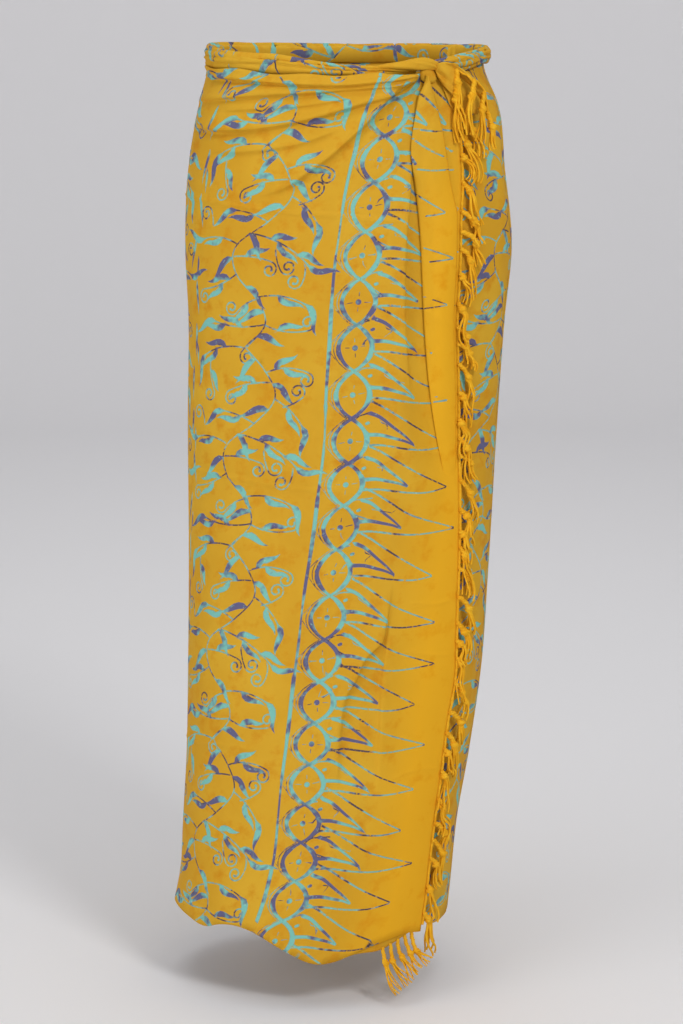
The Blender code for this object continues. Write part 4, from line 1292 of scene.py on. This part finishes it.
def edge_tassels():
    made = []
    top, foot = -0.036, HEM_LEVEL + 0.012
    for k in range(TASSELS):
        wander, other, third = math.sin(2.4 * k), math.sin(5.1 * k + 1), math.sin(7.7 * k + 2)
        z_start = top + (foot - top) * (k + 0.5 + 0.22 * third) / TASSELS
        length = 0.040 + 0.010 * wander
        t = np.linspace(0, 1, 40)
        lean = 0.0135 + 0.0060 * other
        right = lean * (1 - (1 - t) ** 2.4) + 0.0030 * np.sin((8 + 2 * third) * t + 2.1 * k) * t
        z = z_start - length * (0.10 * t + 0.90 * t ** 1.5) + 0.0022 * np.sin(11 * t + k) * t
        turn = free_edge(np.maximum(z_start, HEM_LEVEL) + 0 * t) + 0.6 - np.degrees(right / ROUND)
        sway = 0.0022 * np.sin(8 * t + 1.3 * k) * t
        lift = strip_lift(z_start) + 0.0016 + 0.0030 * ease(t, 0.0, 0.5) + sway
        made.append(tassel(
            surface(turn, z, lift), thick=0.00142 + 0.00020 * third, knot_at=0.36 + 0.14 * other,
            open_end=0.0044 + 0.0016 * wander,
        ))
    return made


def edge_cord():
    """The edge itself: the last few warp threads, bound by the tassels' roots."""
    z = np.linspace(-0.030, HEM_LEVEL + 0.006, 260)
    return cord(surface(free_edge(z), z, strip_lift(z)), 0.0007, 0.0009, 42)


yarn("edge_yarn", [edge_cord()] + edge_tassels(), "edge_fringe")


def corner_tassels():
    made = []
    turn = -26.5 + (-44.0 + 26.5) * (np.arange(5) + 0.5) / 5
    low = corner_foot(turn)
    roots = surface(turn, low + 0.001, front_lift(turn, low) - CORNER_INSET)
    t = np.linspace(0, 1, 34)[:, None]
    for k, root in enumerate(roots):
        length = 0.047 - 0.004 * k
        sway = np.sin(6 * t + 1.9 * k) * t
        fall = t * t * [0.018, 0, 0] + t * [0, -0.010, -length]
        path = root + fall + sway * [0.002, 0.0012, 0]
        made.append(tassel(path, knot_at=0.35 + 0.07 * k, open_end=0.0045))
    return made


yarn("corner_yarn", corner_tassels(), "corner_fringe")


# Share along the tied corner's edge, length, drift to the right, and strand radius of each of its tassels
TAIL_TASSELS = (
    (0.03, 0.050, 0.004, 0.00156), (0.16, 0.044, 0.007, 0.001365), (0.42, 0.060, 0.002, 0.001235),
    (0.66, 0.056, -0.006, 0.00156), (0.84, 0.052, -0.003, 0.00143), (0.98, 0.038, 0.008, 0.00156),
)


def tail_tassels():
    made = [cord(fan_point(np.linspace(0, 1, 60), 1.0), 0.0005, 0.0007, 6)]
    out = (tie_point(0.03, 0, 0.01) - tie_point(0.03, 0, 0))[0]
    out /= np.linalg.norm(out)
    t = np.linspace(0, 1, 36)[:, None]
    for k, (share, length, drift, thick) in enumerate(TAIL_TASSELS):
        root = fan_point(share, 0.99)[0]
        sway = np.sin(7 * t + 2.2 * k) * t
        fall = [0, 0, -1] * (length * (0.25 * t + 0.75 * t ** 1.4))
        bow = out * (0.003 * np.sin(np.pi * t * 0.6))
        path = root + bow + [1, 0, 0] * (drift * t) + fall + sway * [0.0020, 0, 0]
        made.append(tassel(path, thick=thick, knot_at=0.20 + 0.06 * k, open_end=0.0034))
    return made


yarn("tail_yarn", tail_tassels(), "tie_fringe")


# STAGE. A plain studio floor and a pale wall, soft light from the front and above.
camera_data = bpy.data.cameras.new("camera")
camera_data.sensor_width = 36.0
camera_data.lens = 97.6
camera_data.shift_x = -4.5 / 1024
camera = bpy.data.objects.new("camera", camera_data)
camera.location = (0.0, -3.0, 0.018)
camera.rotation_euler = (math.radians(90 - 9.5), 0, 0)
bpy.context.scene.collection.objects.link(camera)
bpy.context.scene.camera = camera
bpy.context.scene.view_settings.view_transform = "Standard"


# The floor's height and how far out its curve starts; the curve's radius; the wall's top over the floor
STAGE_LEVEL, FLOOR_REACH, BEND, WALL_TOP = -1.000, 4.5, 1.2, 5.0


def backdrop():
    """A round floor that rises into a wall on every side."""
    wall, turns = FLOOR_REACH + BEND, 72
    profile = [(1.5, 0.0), (3.0, 0.0), (FLOOR_REACH, 0.0)]
    for a in np.linspace(0.1, math.pi / 2, 12):
        profile.append((FLOOR_REACH + BEND * math.sin(a), BEND - BEND * math.cos(a)))
    profile += [(wall, 3.0), (wall, WALL_TOP)]
    points, faces = [(0.0, 0.0, STAGE_LEVEL)], []
    for reach, rise in profile:
        for angle in 2 * math.pi * np.arange(turns) / turns:
            points.append((reach * math.cos(angle), reach * math.sin(angle), STAGE_LEVEL + rise))
    for i in range(turns):
        after = (i + 1) % turns
        faces.append((0, 1 + i, 1 + after))
        for row in range(len(profile) - 1):
            start = 1 + row * turns
            faces.append((start + i, start + turns + i, start + turns + after, start + after))
    made = bpy.data.meshes.new("backdrop")
    made.from_pydata(points, [], faces)
    made.shade_smooth()
    grey = bpy.data.materials.new("studio_grey")
    grey.use_nodes = True
    paint = grey.node_tree.nodes["Principled BSDF"].inputs
    paint["Base Color"].default_value = (0.90, 0.89, 0.90, 1)
    paint["Roughness"].default_value = 0.9
    made.materials.append(grey)
    floor = bpy.data.objects.new("backdrop", made)
    bpy.context.scene.collection.objects.link(floor)
    return floor


backdrop()


def lamp(name, place, aim, size, power):
    data = bpy.data.lights.new(name, "AREA")
    data.size = size
    data.energy = power
    made = bpy.data.objects.new(name, data)
    made.location = place
    made.rotation_euler = (Vector(aim) - Vector(place)).to_track_quat("-Z", "Y").to_euler()
    bpy.context.scene.collection.objects.link(made)


lamp("key", (1.4, -2.5, 1.6), (0, 0, -0.62), 0.7, 39)
lamp("fill", (-2.3, -1.9, 0.0), (0, 0, -0.65), 2.0, 26)
lamp("top", (0.2, 0.6, 2.6), (0, 0, -0.3), 2.0, 12)
lamp("floor_light", (0.0, -1.1, 2.4), (0, -0.9, -1.0), 2.2, 22)
lamp("wall_light", (0.0, 1.8, 2.8), (0, 5.6, 0.3), 2.4, 44)
world = bpy.data.worlds.new("studio")
world.use_nodes = True
world.node_tree.nodes["Background"].inputs["Color"].default_value = (0.90, 0.92, 0.95, 1)
world.node_tree.nodes["Background"].inputs["Strength"].default_value = 0.22
bpy.context.scene.world = world
